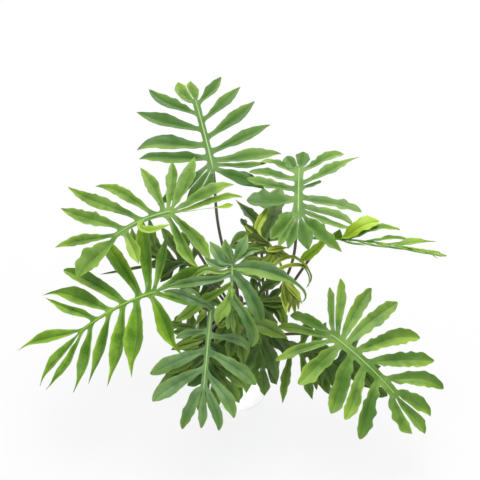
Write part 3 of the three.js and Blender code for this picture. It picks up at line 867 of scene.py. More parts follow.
def petiole_path(stem: Stem, joint: float, hub: Vector, steps: int,
                 bend: tuple[float, float, float] = (0, 0, 0)) -> list[Vector]:
    """Arch of a petiole from its stem to its hub.

    Args:
        stem: Stem that carries it.
        joint: Height of its foot above the pot's underside.
        hub: Where it ends.
        steps: Number of steps.
        bend: How far the middle of the arch is bent out of its usual line.

    Returns:
        Points along the arch.
    """
    axis = stem.axis(joint)
    out = Vector((hub.x - axis.x, hub.y - axis.y, 0)).normalized()
    start = axis + out * (stem.radius - PETIOLE_BITE)
    reach = (start - hub).length
    height = (joint - SOIL_TOP) / stem.height
    outward = PETIOLE_OUT_HIGH + PETIOLE_OUT_LOW * (1 - height)
    first = start + out * reach * outward + UP * PETIOLE_RISE * reach
    second = hub.lerp(start, PETIOLE_BEND_AT) + UP * PETIOLE_BEND_RISE * reach
    path = []
    for i in range(steps + 1):
        t = i / steps
        s = 1 - t
        usual = start * s ** 3 + first * 3 * s * s * t + second * 3 * s * t * t + hub * t ** 3
        path.append(usual + Vector(bend) * (4 * s * t) ** 2)
    return path


@dataclass(frozen=True)
class Look:
    """How one lobe differs from the others of its leaf.

    The tint goes from -1, the dark painted shade colour, to 1, the yellow green of the margins; it is partly
    the lobe's own tone and partly painted light and shade. The painted side shade is how much more of the
    tint the left half has than the middle, for light that falls differently on the two halves of the fold.
    The bow bends the midline to the left, as a share of the length. What isn't given is left to chance or to
    the leaf.
    """

    tint_and_painted_light: float | None = None
    split: float | None = None
    twist: float | None = None
    curl: float | None = None
    bow: float = 0.0
    outline: Outline | None = None


@dataclass(frozen=True)
class FreeLobe:
    """Lobe that arches or curls away from the blade's plane, given by points that its midline runs through.

    It starts on the rachis at a distance from the hub. The tilt turns its surface about the midline, and
    the spin adds a turn that grows towards the tip. Its tint and painted side shade are those of a Look.
    """

    start: float
    points: tuple[tuple[float, float, float], ...]
    width: float
    outline: Outline = Outline.POINTED
    fold: float = 25.0
    tilt: float = 0.0
    spin: float = 0.0
    tint_and_painted_light: float = 0.0
    split: float = 0.0


@dataclass
class Lobe:
    """One lobe of a blade in its plan, with the random turns that make it differ from the next."""

    place: float
    base: float
    tip: Vector
    width: float
    fold: float
    lift: float
    outline: Outline
    look: Look
    # The tint is the lobe's own tone with painted light and shade; the painted side shade differs between the
    # halves
    tint_and_painted_light: float = 0.0
    split: float = 0.0
    foot: Vector = field(default_factory=Vector)
    way: Vector = field(default_factory=Vector)
    aside: Vector = field(default_factory=Vector)
    length: float = 0.0
    index: int = 0
    flare: tuple[float, float] = (0.0, 0.0)
    nicks: list[tuple[float, float, float]] = field(default_factory=list)
    twist: float = 0.0
    curl: float = 0.0
    phase: float = 0.0

    def settle(self, edge: Route, index: int, chance: random.Random) -> None:
        """Sets the lobe on the wing's edge and gives it its own turns.

        Args:
            edge: Edge of the wing.
            index: Number of the lobe on the edge.
            chance: Source of its turns.
        """
        self.foot = edge.at(self.place)
        self.index = index
        span = self.tip - self.foot
        self.length = span.length
        self.way = span.normalized()
        self.aside = Vector((-self.way.y, self.way.x, 0))
        self.twist = chosen(self.look.twist, chance.uniform(-9, 9))
        self.curl = chosen(self.look.curl, chance.uniform(0.0, 0.03)) * self.length
        # The tint and the side shade below carry painted light and shade
        self.tint_and_painted_light = chosen(self.look.tint_and_painted_light, chance.uniform(-0.35, 0.2))
        self.phase = chance.uniform(0, 2 * math.pi)
        for _ in range(NOTCHES):
            self.nicks.append((chance.uniform(0.3, 0.8), chance.choice((-1, 1)), chance.uniform(-0.16, 0.12)))
        # Painted shade that differs between the two halves of the fold
        self.split = chosen(self.look.split, chance.uniform(-0.2, 0.2))

    def offset(self, u: float) -> float:
        """How far the midline stands to the left of the straight line, as a share of the length.

        Args:
            u: Share of the length.

        Returns:
            The usual bow, greatest halfway, and the look's own bow, greatest at two thirds.
        """
        usual = 4 * LOBE_BOW * self.way.y * u * (1 - u)
        return usual + 6.75 * self.look.bow * u * u * (1 - u)

    def middle(self, u: float) -> Vector:
        """Point of the midline at a share of the length."""
        return self.foot + (self.way * u + self.aside * self.offset(u)) * self.length

    def across(self, u: float) -> Vector:
        """Direction to the left of the midline at a share of the length."""
        slope = (self.offset(u + 0.01) - self.offset(u - 0.01)) / 0.02
        return (self.aside - self.way * slope).normalized()


class BladeMesh:
    """Mesh of a blade with the attributes that its finish reads."""

    def __init__(self) -> None:
        """Starts an empty mesh."""
        self.mesh = bmesh.new()
        layers = self.mesh.verts.layers
        self.place = layers.float_vector.new("lobe")
        # Tint of each vertex: the lobe's own tone with painted light and shade
        self.tint_and_painted_light = layers.float.new("tint_and_painted_light")
        self.reach = layers.float.new("reach")

    def grid(self) -> Iterator[tuple[bmesh.types.BMVert, int, float, float]]:
        """Adds the grid of one lobe.

        Yields:
            Each vertex with its row, its share of the length and its share of the half width.
        """
        columns = len(LOBE_COLUMNS)
        made = bmesh.ops.create_grid(self.mesh, x_segments=columns - 1, y_segments=LOBE_ROWS, size=0.5)
        for i, vertex in enumerate(made["verts"]):
            row, column = divmod(i, columns)
            yield vertex, row, row_share(row), -LOBE_COLUMNS[column]

    def mark(self, vertex: bmesh.types.BMVert, where: tuple[float, float, float, float], tint_and_painted_light: float) -> None:
        """Writes the attributes of one vertex of a lobe.

        Args:
            vertex: The vertex.
            where: Its distance from the midline and from the root, and its shares of length and half width.
            tint_and_painted_light: Its tint, the lobe's own tone with painted light and shade.
        """
        reach, along, u, v = where
        vertex[self.place] = (reach, along, abs(v) * eased(u, 0.2))
        vertex[self.tint_and_painted_light] = tint_and_painted_light
        vertex[self.reach] = u

    def fill(self, ring: Sequence[Vector], tint_and_painted_light: float) -> None:
        """Fills the wing between the lobes and joins it to them, with its upper side up.

        Args:
            ring: Points round the wing, of which some may lie on each other.
            tint_and_painted_light: Tint of the wing, which is the leaf's painted shade.
        """
        ring = [spot for i, spot in enumerate(ring) if (spot - ring[i - 1]).length > SAME_POINT]
        mesh = self.mesh
        core = bmesh.ops.create_circle(mesh, cap_ends=True, segments=len(ring), radius=1)["verts"]
        for vertex, spot in zip(core, ring):
            vertex.co = spot
            vertex[self.tint_and_painted_light] = tint_and_painted_light
        core_faces = list({face for vertex in core for face in vertex.link_faces})
        bmesh.ops.triangulate(mesh, faces=core_faces)
        bmesh.ops.remove_doubles(mesh, verts=mesh.verts, dist=SAME_POINT)
        bmesh.ops.recalc_face_normals(mesh, faces=mesh.faces)
        if sum(face.normal.z * face.calc_area() for face in mesh.faces) < 0:
            bmesh.ops.reverse_faces(mesh, faces=mesh.faces)


@dataclass
class Leaf:
    """One leaf: a petiole, a raised rachis and a blade cut almost to it into lobes.

    Each lobe is given as its distance along the rachis, its angle from it, its length and its width, and
    where they aren't the usual ones its fold angle and the lift of its tip.
    """

    name: str
    stem: str
    joint: float
    hub: tuple[float, float, float]
    heading: float
    pitch: float
    roll: float
    droop: float
    cup: float
    rachis: float
    lean: float
    sweep: float
    tone: Tone
    lobes: list[tuple[float, ...]]
    outline: Outline = Outline.POINTED
    looks: dict[int, Look] = field(default_factory=dict)
    free_lobes: list[FreeLobe] = field(default_factory=list)
    wing: float = WING_REACH
    hub_wing: float = HUB_REACH
    root_share: float = ROOT_SHARE
    ruffle: float = 1.0
    folding: float = 1.3
    shade: float = 0.0
    bend: tuple[float, float, float] = (0, 0, 0)

    def __post_init__(self) -> None:
        """Works out the blade's axes."""
        self.centre = Vector(self.hub)
        turn, tilt, bank = (math.radians(angle) for angle in (self.heading, self.pitch, self.roll))
        flat = math.cos(tilt)
        self.forward = Vector((math.cos(turn) * flat, math.sin(turn) * flat, math.sin(tilt)))
        level = Vector((-math.sin(turn), math.cos(turn), 0))
        up = self.forward.cross(level)
        self.left = level * math.cos(bank) + up * math.sin(bank)
        self.normal = up * math.cos(bank) - level * math.sin(bank)

    @property
    def short_name(self) -> str:
        """Name without the word leaf."""
        return self.name.removeprefix("leaf_")

    def point(self, plan: Vector, height: float) -> Vector:
        """Place in space of a point of the blade's plan.

        Args:
            plan: Point in the plan.
            height: Height above the blade's plane.

        Returns:
            The point on the drooping blade.
        """
        drop = self.droop * (plan.x / 100) ** 2 + self.cup * (plan.y / 100) ** 2
        return self.centre + self.forward * plan.x + self.left * plan.y + self.normal * (height - drop)

    def on_rachis(self, along: float) -> Vector:
        """Plan point of the rachis at a distance from the hub."""
        share = along / self.rachis
        return Vector((along, self.lean * share + self.sweep * share * share, 0))

    def wing_edge(self) -> Route:
        """Edge of the wing that runs along both sides of the rachis.

        Returns:
            The closed edge, from the terminal end by the left side and the hub to the right side.
        """
        stations = [share * self.rachis for share in WING_SHARES]

        def side(sign: int) -> list[Vector]:
            """Corners of one side, from the terminal end to the hub."""
            corners = []
            for along in stations:
                reach = self.wing + max(self.hub_wing - self.wing, 0) * math.exp(-((along / HUB_SPREAD) ** 2))
                corners.append(self.on_rachis(along) + Vector((0, sign * reach, 0)))
            return corners

        end = self.on_rachis(self.rachis) + Vector((self.wing, 0, 0))
        back = Vector((-max(self.hub_wing, self.wing), 0, 0))
        return Route(smooth_loop([end, *side(1), back, *reversed(side(-1))], WING_STEPS), closed=True)

    def place_lobes(self, edge: Route) -> list[Lobe]:
        """Sets the lobes on the edge, pushed clear of each other.

        Args:
            edge: Edge of the wing.

        Returns:
            The lobes in their order along the edge.
        """
        samples = edge.spaced(EDGE_SAMPLES)
        lobes = []
        for number, sizes in enumerate(self.lobes):
            at, angle, reach, width = sizes[:4]
            fold = sizes[4] if len(sizes) > 4 else USUAL_FOLD
            lift = sizes[5] if len(sizes) > 5 else 0
            start = self.on_rachis(at)
            way = Vector((math.cos(math.radians(angle)), math.sin(math.radians(angle)), 0))
            facing = [(sample - start).normalized().dot(way) for sample in samples]
            place = facing.index(max(facing)) / EDGE_SAMPLES * edge.length
            base = min(self.root_share * width, ROOT_LIMIT)
            look = self.looks.get(number, Look())
            outline = look.outline or self.outline
            tip = start + way * reach
            lobes.append(Lobe(place, base, tip, width, fold * self.folding, lift, outline, look))
        lobes.sort(key=lambda lobe: lobe.place)
        laps = [0.0] * (len(lobes) - 1) + [edge.length]
        pairs = list(zip(lobes, [*lobes[1:], lobes[0]], laps))
        for _ in range(SPREADING_TURNS):
            for lobe, after, lap in pairs:
                crowding = lobe.place + (lobe.base + after.base) / 2 + SINUS - after.place - lap
                if crowding <= 0:
                    continue
                lobe.place -= crowding / 4
                after.place += crowding / 4
                lobe.base -= crowding / 8
                after.base -= crowding / 8
        chance = random.Random(self.name)
        for index, lobe in enumerate(lobes):
            lobe.settle(edge, index, chance)
        gaps = [after.place + lap - after.base / 2 - lobe.place - lobe.base / 2 for lobe, after, lap in pairs]
        for i, lobe in enumerate(lobes):
            lobe.flare = tuple(min(0.5 * gap, SINUS_FLARE) for gap in (gaps[i - 1], gaps[i]))
        return lobes

    def half_width(self, lobe: Lobe, beside: Lobe, u: float, v: float) -> float:
        """Half the width of a lobe on one side, without the flare at its root.

        Args:
            lobe: The lobe.
            beside: The next lobe on that side.
            u: Share of the length.
            v: Share of the half width, negative on the right.

        Returns:
            Half width in millimetres, kept clear of the next lobe.
        """
        wave = 1 + WAVE_SHARE * self.ruffle * wavering(u * lobe.length, v, lobe.phase)
        wave += FINE_WAVE_SHARE * self.ruffle * math.sin(FINE_WAVE_RATE * u * lobe.length + lobe.phase + v)
        for place, side, depth in lobe.nicks:
            away = (u - place) * lobe.length / NOTCH_LENGTH
            wave += depth * self.ruffle * (side * v > 0) * math.exp(-away ** 2)
        body = 0.5 * lobe.width * read_table(lobe.outline.value, u) * wave
        middle = lobe.middle(u)
        line = beside.tip - beside.foot
        share = min(max((middle - beside.foot).dot(line) / line.length_squared, 0), 1)
        webbed = {lobe.outline, beside.outline} <= {Outline.WEBBED, Outline.FINGER}
        room = (beside.foot + line * share - middle).length * lobe.width / (lobe.width + beside.width)
        room -= WEB_GAP if webbed else LOBE_GAP
        body = max(min(body, room), min(body, LEAST_REACH))
        root = eased(u, ROOT_EASE)
        return 0.5 * lobe.base * (1 - root) + body * root

    def lobe_point(self, edge: Route, lobes: list[Lobe], lobe: Lobe, u: float,
                   v: float) -> tuple[Vector, float, float]:
        """Plan point and height of a place on a lobe.

        Args:
            edge: Edge of the wing.
            lobes: All the lobes in order.
            lobe: The lobe.
            u: Share of the length.
            v: Share of the half width, negative on the right.

        Returns:
            Plan point, height above the blade's plane, and distance from the midline.
        """
        beside = lobes[lobe.index - 1] if v < 0 else lobes[(lobe.index + 1) % len(lobes)]
        along = u * lobe.length
        flare = lobe.flare[0 if v < 0 else 1] * math.exp(-along / SINUS_FADE)
        half = self.half_width(lobe, beside, u, v) + flare
        reach = v * half
        square = eased(u, ROOT_RAMP)
        skewed = edge.at(lobe.place + reach) - lobe.foot
        plan = lobe.middle(u) + skewed * (1 - square) + lobe.across(u) * reach * square
        usual_half = 0.5 * lobe.width * read_table(lobe.outline.value, u)
        height = folded_height(reach, half, v, lobe.fold)
        height -= SAG * usual_half * math.tan(math.radians(lobe.fold))
        height += self.ruffle * ruffle_height(half, v, along, lobe.phase)
        height += reach * math.tan(math.radians(lobe.twist)) * u
        height += DENTS * noise.noise((plan + UP * DENT_SHIFT * lobe.phase) * DENT_SCALE) * abs(v)
        height *= square * (1 - 0.5 * u * u)
        return plan, height + lobe.lift * u * u - lobe.curl * u ** 4, reach

    def build(self, shop: Workshop) -> None:
        """Builds the blade and the stalk of the leaf.

        Args:
            shop: Workshop that makes the pieces.
        """
        edge = self.wing_edge()
        lobes = self.place_lobes(edge)
        self.build_blade(shop, edge, lobes)
        self.build_stalk(shop, edge, lobes)

    def build_blade(self, shop: Workshop, edge: Route, lobes: list[Lobe]) -> None:
        """Builds the blade as one thin sheet.

        Args:
            shop: Workshop that makes the piece.
            edge: Edge of the wing.
            lobes: Lobes in order.
        """
        blade = BladeMesh()
        ring: list[Vector] = []
        for lobe in lobes:
            root = []
            for vertex, row, u, v in blade.grid():
                plan, height, reach = self.lobe_point(edge, lobes, lobe, u, v)
                vertex.co = plan + UP * height
                # Tint: the lobe's tone with painted light and shade, plus the painted shade that differs
                # between the halves of the fold
                tint_and_painted_light = self.shade + (lobe.tint_and_painted_light + painted_side_tint(lobe.split, v)) * eased(u, 0.3)
                blade.mark(vertex, (reach, u * lobe.length, u, v), tint_and_painted_light)
                if row == 0:
                    root.append(vertex.co.copy())
            ring.extend([*reversed(root), *self.sinus_floor(edge, lobes, lobe)])
        blade.fill(ring, self.shade)
        for vertex in blade.mesh.verts:
            vertex.co = self.point(vertex.co, vertex.co.z)
        for number, lobe in enumerate(self.free_lobes):
            self.add_free_lobe(blade, number, lobe)
        for border in blade.mesh.edges:
            border.smooth = not border.is_boundary
        finishes = [FINISHES[self.tone], UNDERSIDE]
        sheet = shop.piece(f"blade_{self.short_name}", blade.mesh, finishes, self.tone.value, self.name)
        thicken(sheet, BLADE_THICKNESS, 1)

    def add_free_lobe(self, blade: BladeMesh, number: int, lobe: FreeLobe) -> None:
        """Adds one free lobe to the blade.

        Args:
            blade: The blade, in its place in space.
            number: Number of the lobe, which settles its ruffles.
            lobe: The lobe.
        """
        corners = [self.point(self.on_rachis(lobe.start), 0.3), *(Vector(point) for point in lobe.points)]
        route = Route(smooth_line(corners, 12))
        middles = []
        normal = self.normal
        for u in map(row_share, range(LOBE_ROWS + 1)):
            way = (route.at(route.length * (u + 0.02)) - route.at(route.length * (u - 0.02))).normalized()
            normal = (normal - way * normal.dot(way)).normalized()
            turn = math.radians(lobe.tilt * eased(u, 0.25) + lobe.spin * u)
            above = Matrix.Rotation(turn, 3, way) @ normal
            middles.append((route.at(route.length * u), above.cross(way), above))
        for vertex, row, u, v in blade.grid():
            middle, left, above = middles[row]
            along = u * route.length
            wave = 1 + WAVE_SHARE * self.ruffle * wavering(along, v, number)
            half = 0.5 * lobe.width * read_table(lobe.outline.value, u) * wave
            height = folded_height(v * half, half, v, lobe.fold) + ruffle_height(half, v, along, number)
            vertex.co = middle + left * v * half + above * height
            # Tint: the lobe's tone with painted light and shade, plus the painted shade of its halves
            tint_and_painted_light = self.shade + lobe.tint_and_painted_light + painted_side_tint(lobe.split, v)
            blade.mark(vertex, (v * half, along, u, v), tint_and_painted_light)

    def sinus_floor(self, edge: Route, lobes: list[Lobe], lobe: Lobe) -> list[Vector]:
        """Points of the wing's edge that no lobe covers, between a lobe and the next one.

        Args:
            edge: Edge of the wing.
            lobes: Lobes in order.
            lobe: The lobe before the gap.

        Returns:
            Points of the edge in order, none where the lobes meet.
        """
        after = lobes[(lobe.index + 1) % len(lobes)]
        start = lobe.place + lobe.base / 2 + lobe.flare[1]
        end = after.place - after.base / 2 - after.flare[0]
        end += edge.length if after is lobes[0] else 0
        count = math.floor((end - start) / SINUS_STEP)
        return [edge.at(start + (end - start) * k / (count + 1)) for k in range(1, count + 1)]

    def build_stalk(self, shop: Workshop, edge: Route, lobes: list[Lobe]) -> None:
        """Builds the petiole, the raised rachis and the ribs of the lobes.

        Args:
            shop: Workshop that makes the piece.
            edge: Edge of the wing.
            lobes: Lobes in order.
        """
        mesh = bmesh.new()
        mesh.verts.layers.float.new("along")
        path = petiole_path(STEMS[self.stem], self.joint, self.centre, PETIOLE_STEPS, self.bend)
        petiole = Route(path)
        corners = [petiole.at(petiole.length * i / 12) for i in range(12)]
        corners.append(self.point(Vector((2, 0, 0)), RACHIS_RAISE - RACHIS_DIP))
        shares = [0.12 + 0.88 * i / 10 for i in range(11)]
        corners.extend(self.point(self.on_rachis(self.rachis * share), RACHIS_RAISE) for share in shares)
        route = Route(smooth_line(corners, 6))
        radii = []
        marks = []
        for i in range(STALK_STEPS + 1):
            distance = route.length * i / STALK_STEPS
            share = (distance - petiole.length) / self.rachis
            if share < 0:
                swell = (SHEATH_RADIUS - PETIOLE_RADIUS) * (1 - eased(distance, SHEATH_LENGTH))
                radii.append(PETIOLE_RADIUS + swell)
                marks.append(distance / petiole.length)
            else:
                radii.append(RACHIS_RADIUS + (RACHIS_END_RADIUS - RACHIS_RADIUS) * share)
                marks.append(1 + share)
        sweep(mesh, route.spaced(STALK_STEPS), radii, STALK_SIDES, marks)
        for lobe in lobes:
            self.add_rib(mesh, edge, lobes, lobe)
        bmesh.ops.recalc_face_normals(mesh, faces=mesh.faces)
        shop.piece(f"stalk_{self.short_name}", mesh, [STALKS[self.tone]], self.tone.value, self.name)

    def add_rib(self, mesh: bmesh.types.BMesh, edge: Route, lobes: list[Lobe], lobe: Lobe) -> None:
        """Adds the rib under the midline of one lobe.

        Args:
            mesh: Mesh of the stalk.
            edge: Edge of the wing.
            lobes: Lobes in order.
            lobe: The lobe.
        """
        shares = [i / RIB_STEPS * RIB_LENGTH for i in range(RIB_STEPS + 1)]
        points = []
        for u in shares:
            plan, height, _ = self.lobe_point(edge, lobes, lobe, u, 0)
            points.append(self.point(plan, height - BLADE_THICKNESS - RIB_DEPTH))
        thick = min(1.0, lobe.width / FULL_RIB_WIDTH)
        radii = [thick * (RIB_RADIUS + (RIB_TIP_RADIUS - RIB_RADIUS) * u) for u in shares]
        sweep(mesh, points, radii, RIB_SIDES, [ON_RIB] * len(points))


LEAVES = [
    Leaf("leaf_back", "stem_tall", 168, (-32, 112, 332), 98, 18, 0, 8, 6, 129, 9, 0, Tone.MID_GREEN, [
        (97, 43, 98, 22), (68, 59.5, 106, 24), (42, 87, 99, 27), (18, 82, 100, 26), (5, 123, 98, 20),
        (4, 142, 71, 15), (2, 157, 54, 17), (123, 24, 52, 22, 20, 5), (123, 4, 46, 20, 20, 6),
        (121, -39, 68, 18, 20, 8), (85, -43, 98, 19), (52, -49, 107, 21), (27, -64, 105, 20),
        (12, -85, 102, 23), (6, -92, 77, 12), (0, -120, 79, 22),
    ], wing=4.6, root_share=0.62, shade=-0.6, ruffle=0.45, bend=(-9, 0, 0), looks={
        0: Look(bow=0.05), 2: Look(bow=-0.14, split=0.25), 3: Look(bow=-0.07, split=0.4, tint_and_painted_light=-0.3),
        7: Look(bow=0.06, outline=Outline.WEBBED, tint_and_painted_light=0.4),
        8: Look(bow=0.05, outline=Outline.WEBBED, tint_and_painted_light=0.3),
        10: Look(bow=0.01), 11: Look(bow=0.0), 12: Look(bow=0.03), 13: Look(bow=0.045), 15: Look(bow=0.06),
    }),
    Leaf("leaf_left_upper", "stem_tall", 150, (-87, 31, 320), 186, -14, -24, 6, 4, 84, -8, 20,
         Tone.MID_GREEN, [
        (84, 35, 77, 33), (84, -8.5, 88, 16), (68, -36.5, 107, 20), (42, -42, 130, 18), (21, -43, 107, 16),
        (6, -72.5, 84, 18), (4, -103, 81, 17), (1, -122, 89, 21), (0, -168, 93, 20), (0, 179, 98, 15),
        (-1, 113, 94, 18, 30), (8, 108, 93, 17, 30), (69, 102, 55, 18),
    ], wing=3.8, ruffle=0.9, looks={
        0: Look(bow=-0.1), 1: Look(bow=-0.03), 2: Look(bow=0.03),
        3: Look(bow=0.04), 4: Look(bow=-0.055), 8: Look(bow=0.07), 9: Look(bow=0.08), 10: Look(bow=0.035),
        11: Look(bow=-0.07), 12: Look(tint_and_painted_light=0.5, twist=14),
    }, free_lobes=[
        FreeLobe(2, ((-67, 27, 324), (-41, 27, 329), (-18, 27, 332), (-3, 30, 333)), 7,
                 Outline.THREAD, tint_and_painted_light=1.0),
        FreeLobe(42, ((-129, 12, 310), (-117, 0, 313), (-103, -1, 317), (-88, 4, 321)), 13,
                 tilt=15, tint_and_painted_light=0.6),
    ]),
    Leaf("leaf_left_lower", "stem_tall", 126, (-109, -37, 235), 199, -20, -14, 6, 4, 118, -26, 23,
         Tone.BRIGHT_GREEN, [
        (116, -19, 99, 18), (118, 24, 88, 17), (44, -59.5, 122, 20), (64, -45.2, 119, 23), (90, -55, 96, 17),
        (22, -85, 114, 21, 30), (9, -106, 122, 20, 30), (0, -122, 98, 14), (0, -177, 85, 20),
        (0, 136.5, 87, 17), (7, 92.5, 104, 21, 30), (27, 63.5, 112, 27, 30), (47, 55.5, 115, 21, 30),
        (67, 49.5, 103, 16, 30), (97, 51, 97, 18, 30), (116, 31.5, 89, 16),
    ], Outline.TAILED, wing=2.4, hub_wing=4.5, folding=1.7, ruffle=0.35, looks={
        0: Look(bow=-0.05, split=0.15), 1: Look(bow=-0.08, split=-0.1),
        2: Look(bow=-0.01, split=0.4, tint_and_painted_light=-0.25, outline=Outline.STRAP),
        3: Look(bow=-0.07, split=0.35, tint_and_painted_light=-0.2), 4: Look(bow=0.03, split=0.25),
        5: Look(bow=0.04, split=-0.45, tint_and_painted_light=-0.1, outline=Outline.ROUNDED),
        6: Look(bow=0.03, split=0.3, tint_and_painted_light=-0.2, outline=Outline.ROUNDED),
        7: Look(bow=0.02), 8: Look(tint_and_painted_light=-0.45), 9: Look(tint_and_painted_light=-0.35),
        10: Look(bow=-0.07, split=-0.25), 11: Look(bow=-0.03, split=-0.2), 12: Look(bow=0.015, split=-0.3),
        13: Look(tint_and_painted_light=-0.4), 14: Look(bow=0.02, split=0.2), 15: Look(bow=0.03, split=-0.15),
    }),
    Leaf("leaf_front", "stem_front", 136, (-32, -94, 260), -92, -42, 0, 6, 4, 106, -6, -1, Tone.BLUE_GREEN, [
        (30, -76, 44, 11), (54, -65.5, 82, 19), (77, -56, 83, 21), (100, -25, 65, 15), (102, -3, 55, 12),
        (34, 69, 58, 12), (55, 56, 78, 19), (80, 32, 73, 17), (100, 19, 63, 15),
    ], Outline.ROUNDED, wing=3.4, hub_wing=3.4, ruffle=0.7, looks={
        0: Look(bow=-0.05), 1: Look(split=-0.2, tint_and_painted_light=-0.2), 2: Look(bow=-0.02, split=-0.2),
        3: Look(bow=-0.03, outline=Outline.FINGER, tint_and_painted_light=-0.4),
        4: Look(bow=0.03, outline=Outline.FINGER, tint_and_painted_light=-0.3),
        5: Look(bow=0.12), 6: Look(bow=0.02, split=0.1), 7: Look(bow=0.05, tint_and_painted_light=-0.2),
        8: Look(bow=0.06, outline=Outline.FINGER, tint_and_painted_light=-0.35),
    }, free_lobes=[
        FreeLobe(0, ((-38, -104.5, 277), (-51, -109.5, 288), (-71, -100, 291), (-96, -84, 281)), 13,
                 tint_and_painted_light=-0.15),
    ]),
    Leaf("leaf_right_upper", "stem_right", 160, (84, 16, 330), 88, 8, 0, 8, 6, 90, 0, -1, Tone.MID_GREEN, [
        (86, -8, 44, 23), (86, 27, 38, 23), (84, -53, 80, 17), (54, -50, 112, 20), (32, -104, 88, 17),
        (17, -113, 78, 16), (4, -106, 71, 17, 20, -5), (0, -137, 84, 20, 30), (-1, -167, 61, 22),
        (84, 68, 58, 13), (66, 75, 71, 16), (44, 70, 76, 16), (26, 91, 70, 32), (3, 142, 60, 21, 30),
        (-1, 167, 61, 16), (0, 155, 62, 16), (44, -48, 42, 11, 20, -6),
    ], Outline.ROUNDED, wing=5.8, hub_wing=8.5, root_share=0.62, ruffle=1.2, bend=(8, 0, 0), looks={
        0: Look(outline=Outline.WEBBED, tint_and_painted_light=-0.3), 1: Look(outline=Outline.WEBBED, tint_and_painted_light=-0.2),
        2: Look(bow=0.1, tint_and_painted_light=0.1), 3: Look(bow=0.04, outline=Outline.TAILED, tint_and_painted_light=0.1),
        4: Look(bow=0.07, outline=Outline.STRAP), 5: Look(bow=0.1, outline=Outline.STRAP),
        6: Look(bow=0.02, outline=Outline.STRAP),
        7: Look(outline=Outline.WEBBED, tint_and_painted_light=-0.15),
        8: Look(outline=Outline.WEBBED), 9: Look(bow=-0.18, outline=Outline.STRAP),
        10: Look(bow=-0.08, outline=Outline.STRAP), 11: Look(outline=Outline.STRAP),
        12: Look(bow=-0.04), 13: Look(outline=Outline.WEBBED), 14: Look(outline=Outline.WEBBED, tint_and_painted_light=-0.3),
        15: Look(outline=Outline.WEBBED, tint_and_painted_light=0.1), 16: Look(tint_and_painted_light=-0.9),
    }, shade=-0.4),
    Leaf("leaf_centre", "stem_tall", 178, (-4, -79, 325), -90, -50, 0, 6, 4, 60, 0, -2, Tone.BLUE_GREEN, [
        (57, 6, 34, 7), (56, -8, 31, 7), (0, -164, 26, 9), (0, -131, 36, 11),
    ], wing=2.0, hub_wing=3.5, shade=0.2, looks={0: Look(tint_and_painted_light=0.3), 1: Look(tint_and_painted_light=0.3)}, free_lobes=[
        FreeLobe(5, ((10, -85, 324), (28, -90, 326), (49, -94, 322), (70, -96, 312), (85, -97, 299),
                     (91, -99, 286), (87, -100, 276), (79, -96, 276)), 20, Outline.CURLED, 36, -12, tint_and_painted_light=0.1,
                 split=-0.35),
        FreeLobe(26, ((-18, -95, 293), (-38, -91.5, 274.5), (-56, -101, 264), (-78, -109.5, 250.5)), 14,
                 Outline.ROUNDED, 42, tint_and_painted_light=1.1),
        FreeLobe(12, ((-22, -94, 312), (-45, -97, 311), (-68, -97, 306), (-93, -95, 297)), 13, fold=35,
                 tint_and_painted_light=-0.1),
        FreeLobe(8, ((-20, -88, 318), (-38, -87, 321), (-57, -93, 311)), 9, fold=30, tint_and_painted_light=0.5),
        FreeLobe(32, ((-12, -116, 284), (-20, -122, 277), (-24, -129, 263)), 18, fold=15, tint_and_painted_light=0.7),
        FreeLobe(12, ((6, -93, 309), (18, -106, 298), (27, -116, 283), (34, -122, 262)), 18,
                 Outline.STRAP, 34, tint_and_painted_light=-0.6),
        FreeLobe(40, ((1, -112, 288), (14, -126, 277), (23, -138, 258), (20, -143, 237)), 14,
                 Outline.STRAP, 48, 10, tint_and_painted_light=-0.2, split=0.6),
        FreeLobe(0, ((-16, -79, 329), (-25, -71, 339), (-33, -61, 347)), 15, tint_and_painted_light=-0.25),
        FreeLobe(0, ((-8, -74, 334), (-12, -69, 342), (-13, -60, 350)), 12, tint_and_painted_light=0.1),
        FreeLobe(0, ((-18, -83, 324), (-31, -80, 328), (-40, -74, 331)), 11, tint_and_painted_light=-0.3),
        FreeLobe(0, ((2, -72, 332), (10, -62, 342), (15, -50, 350)), 14, tint_and_painted_light=-0.1),
        FreeLobe(0, ((6, -74, 331), (20, -67, 336), (36, -63, 334)), 8, fold=35, tint_and_painted_light=-0.2),
    ]),
    Leaf("leaf_right", "stem_right", 138, (123, 27, 275), -2, -1, -34, 6, -12, 150, 0, 0, Tone.BRIGHT_GREEN, [
        (124, 34, 46, 10), (146, 4, 22, 8), (8, -98, 48, 13), (22, -66, 70, 13), (44, -58, 72, 12),
        (68, -52, 68, 12), (92, -46, 60, 11), (114, -38, 54, 10), (132, -28, 36, 9), (0, 146, 46, 13),
    ], wing=2.4, hub_wing=4, folding=0.8, looks={
        0: Look(tint_and_painted_light=0.5), 5: Look(tint_and_painted_light=0.3), 6: Look(tint_and_painted_light=0.4),
    }, free_lobes=[
        FreeLobe(20, ((153, 28, 280), (165, 32, 289), (181, 37, 295), (197, 42, 294)), 23, Outline.STRAP, 12,
                 50, tint_and_painted_light=1.2),
        FreeLobe(30, ((168, 30, 278), (182, 34, 284), (202, 38, 286), (227, 42, 279)), 14, Outline.STRAP, 18,
                 25),
        FreeLobe(54, ((198, 26, 274), (215, 32, 272), (248, 38, 263)), 12, fold=20, tilt=20, tint_and_painted_light=0.1),
        FreeLobe(84, ((221, 24, 267), (243, 28, 268), (277, 34, 265)), 13, Outline.TAILED, 20, 30, tint_and_painted_light=0.35),
        FreeLobe(104, ((242, 16, 264), (263, 10, 266), (276, 2, 262)), 9, Outline.TAILED, 20, 10, tint_and_painted_light=0.2),
        FreeLobe(0, ((114, 16, 270), (102, 6, 266), (88, -6, 262)), 14, Outline.STRAP, 15, -40, tint_and_painted_light=0.9),
        FreeLobe(8, ((134, 28, 276), (139, 29, 281), (143, 30, 289)), 12, tilt=110, tint_and_painted_light=-0.6),
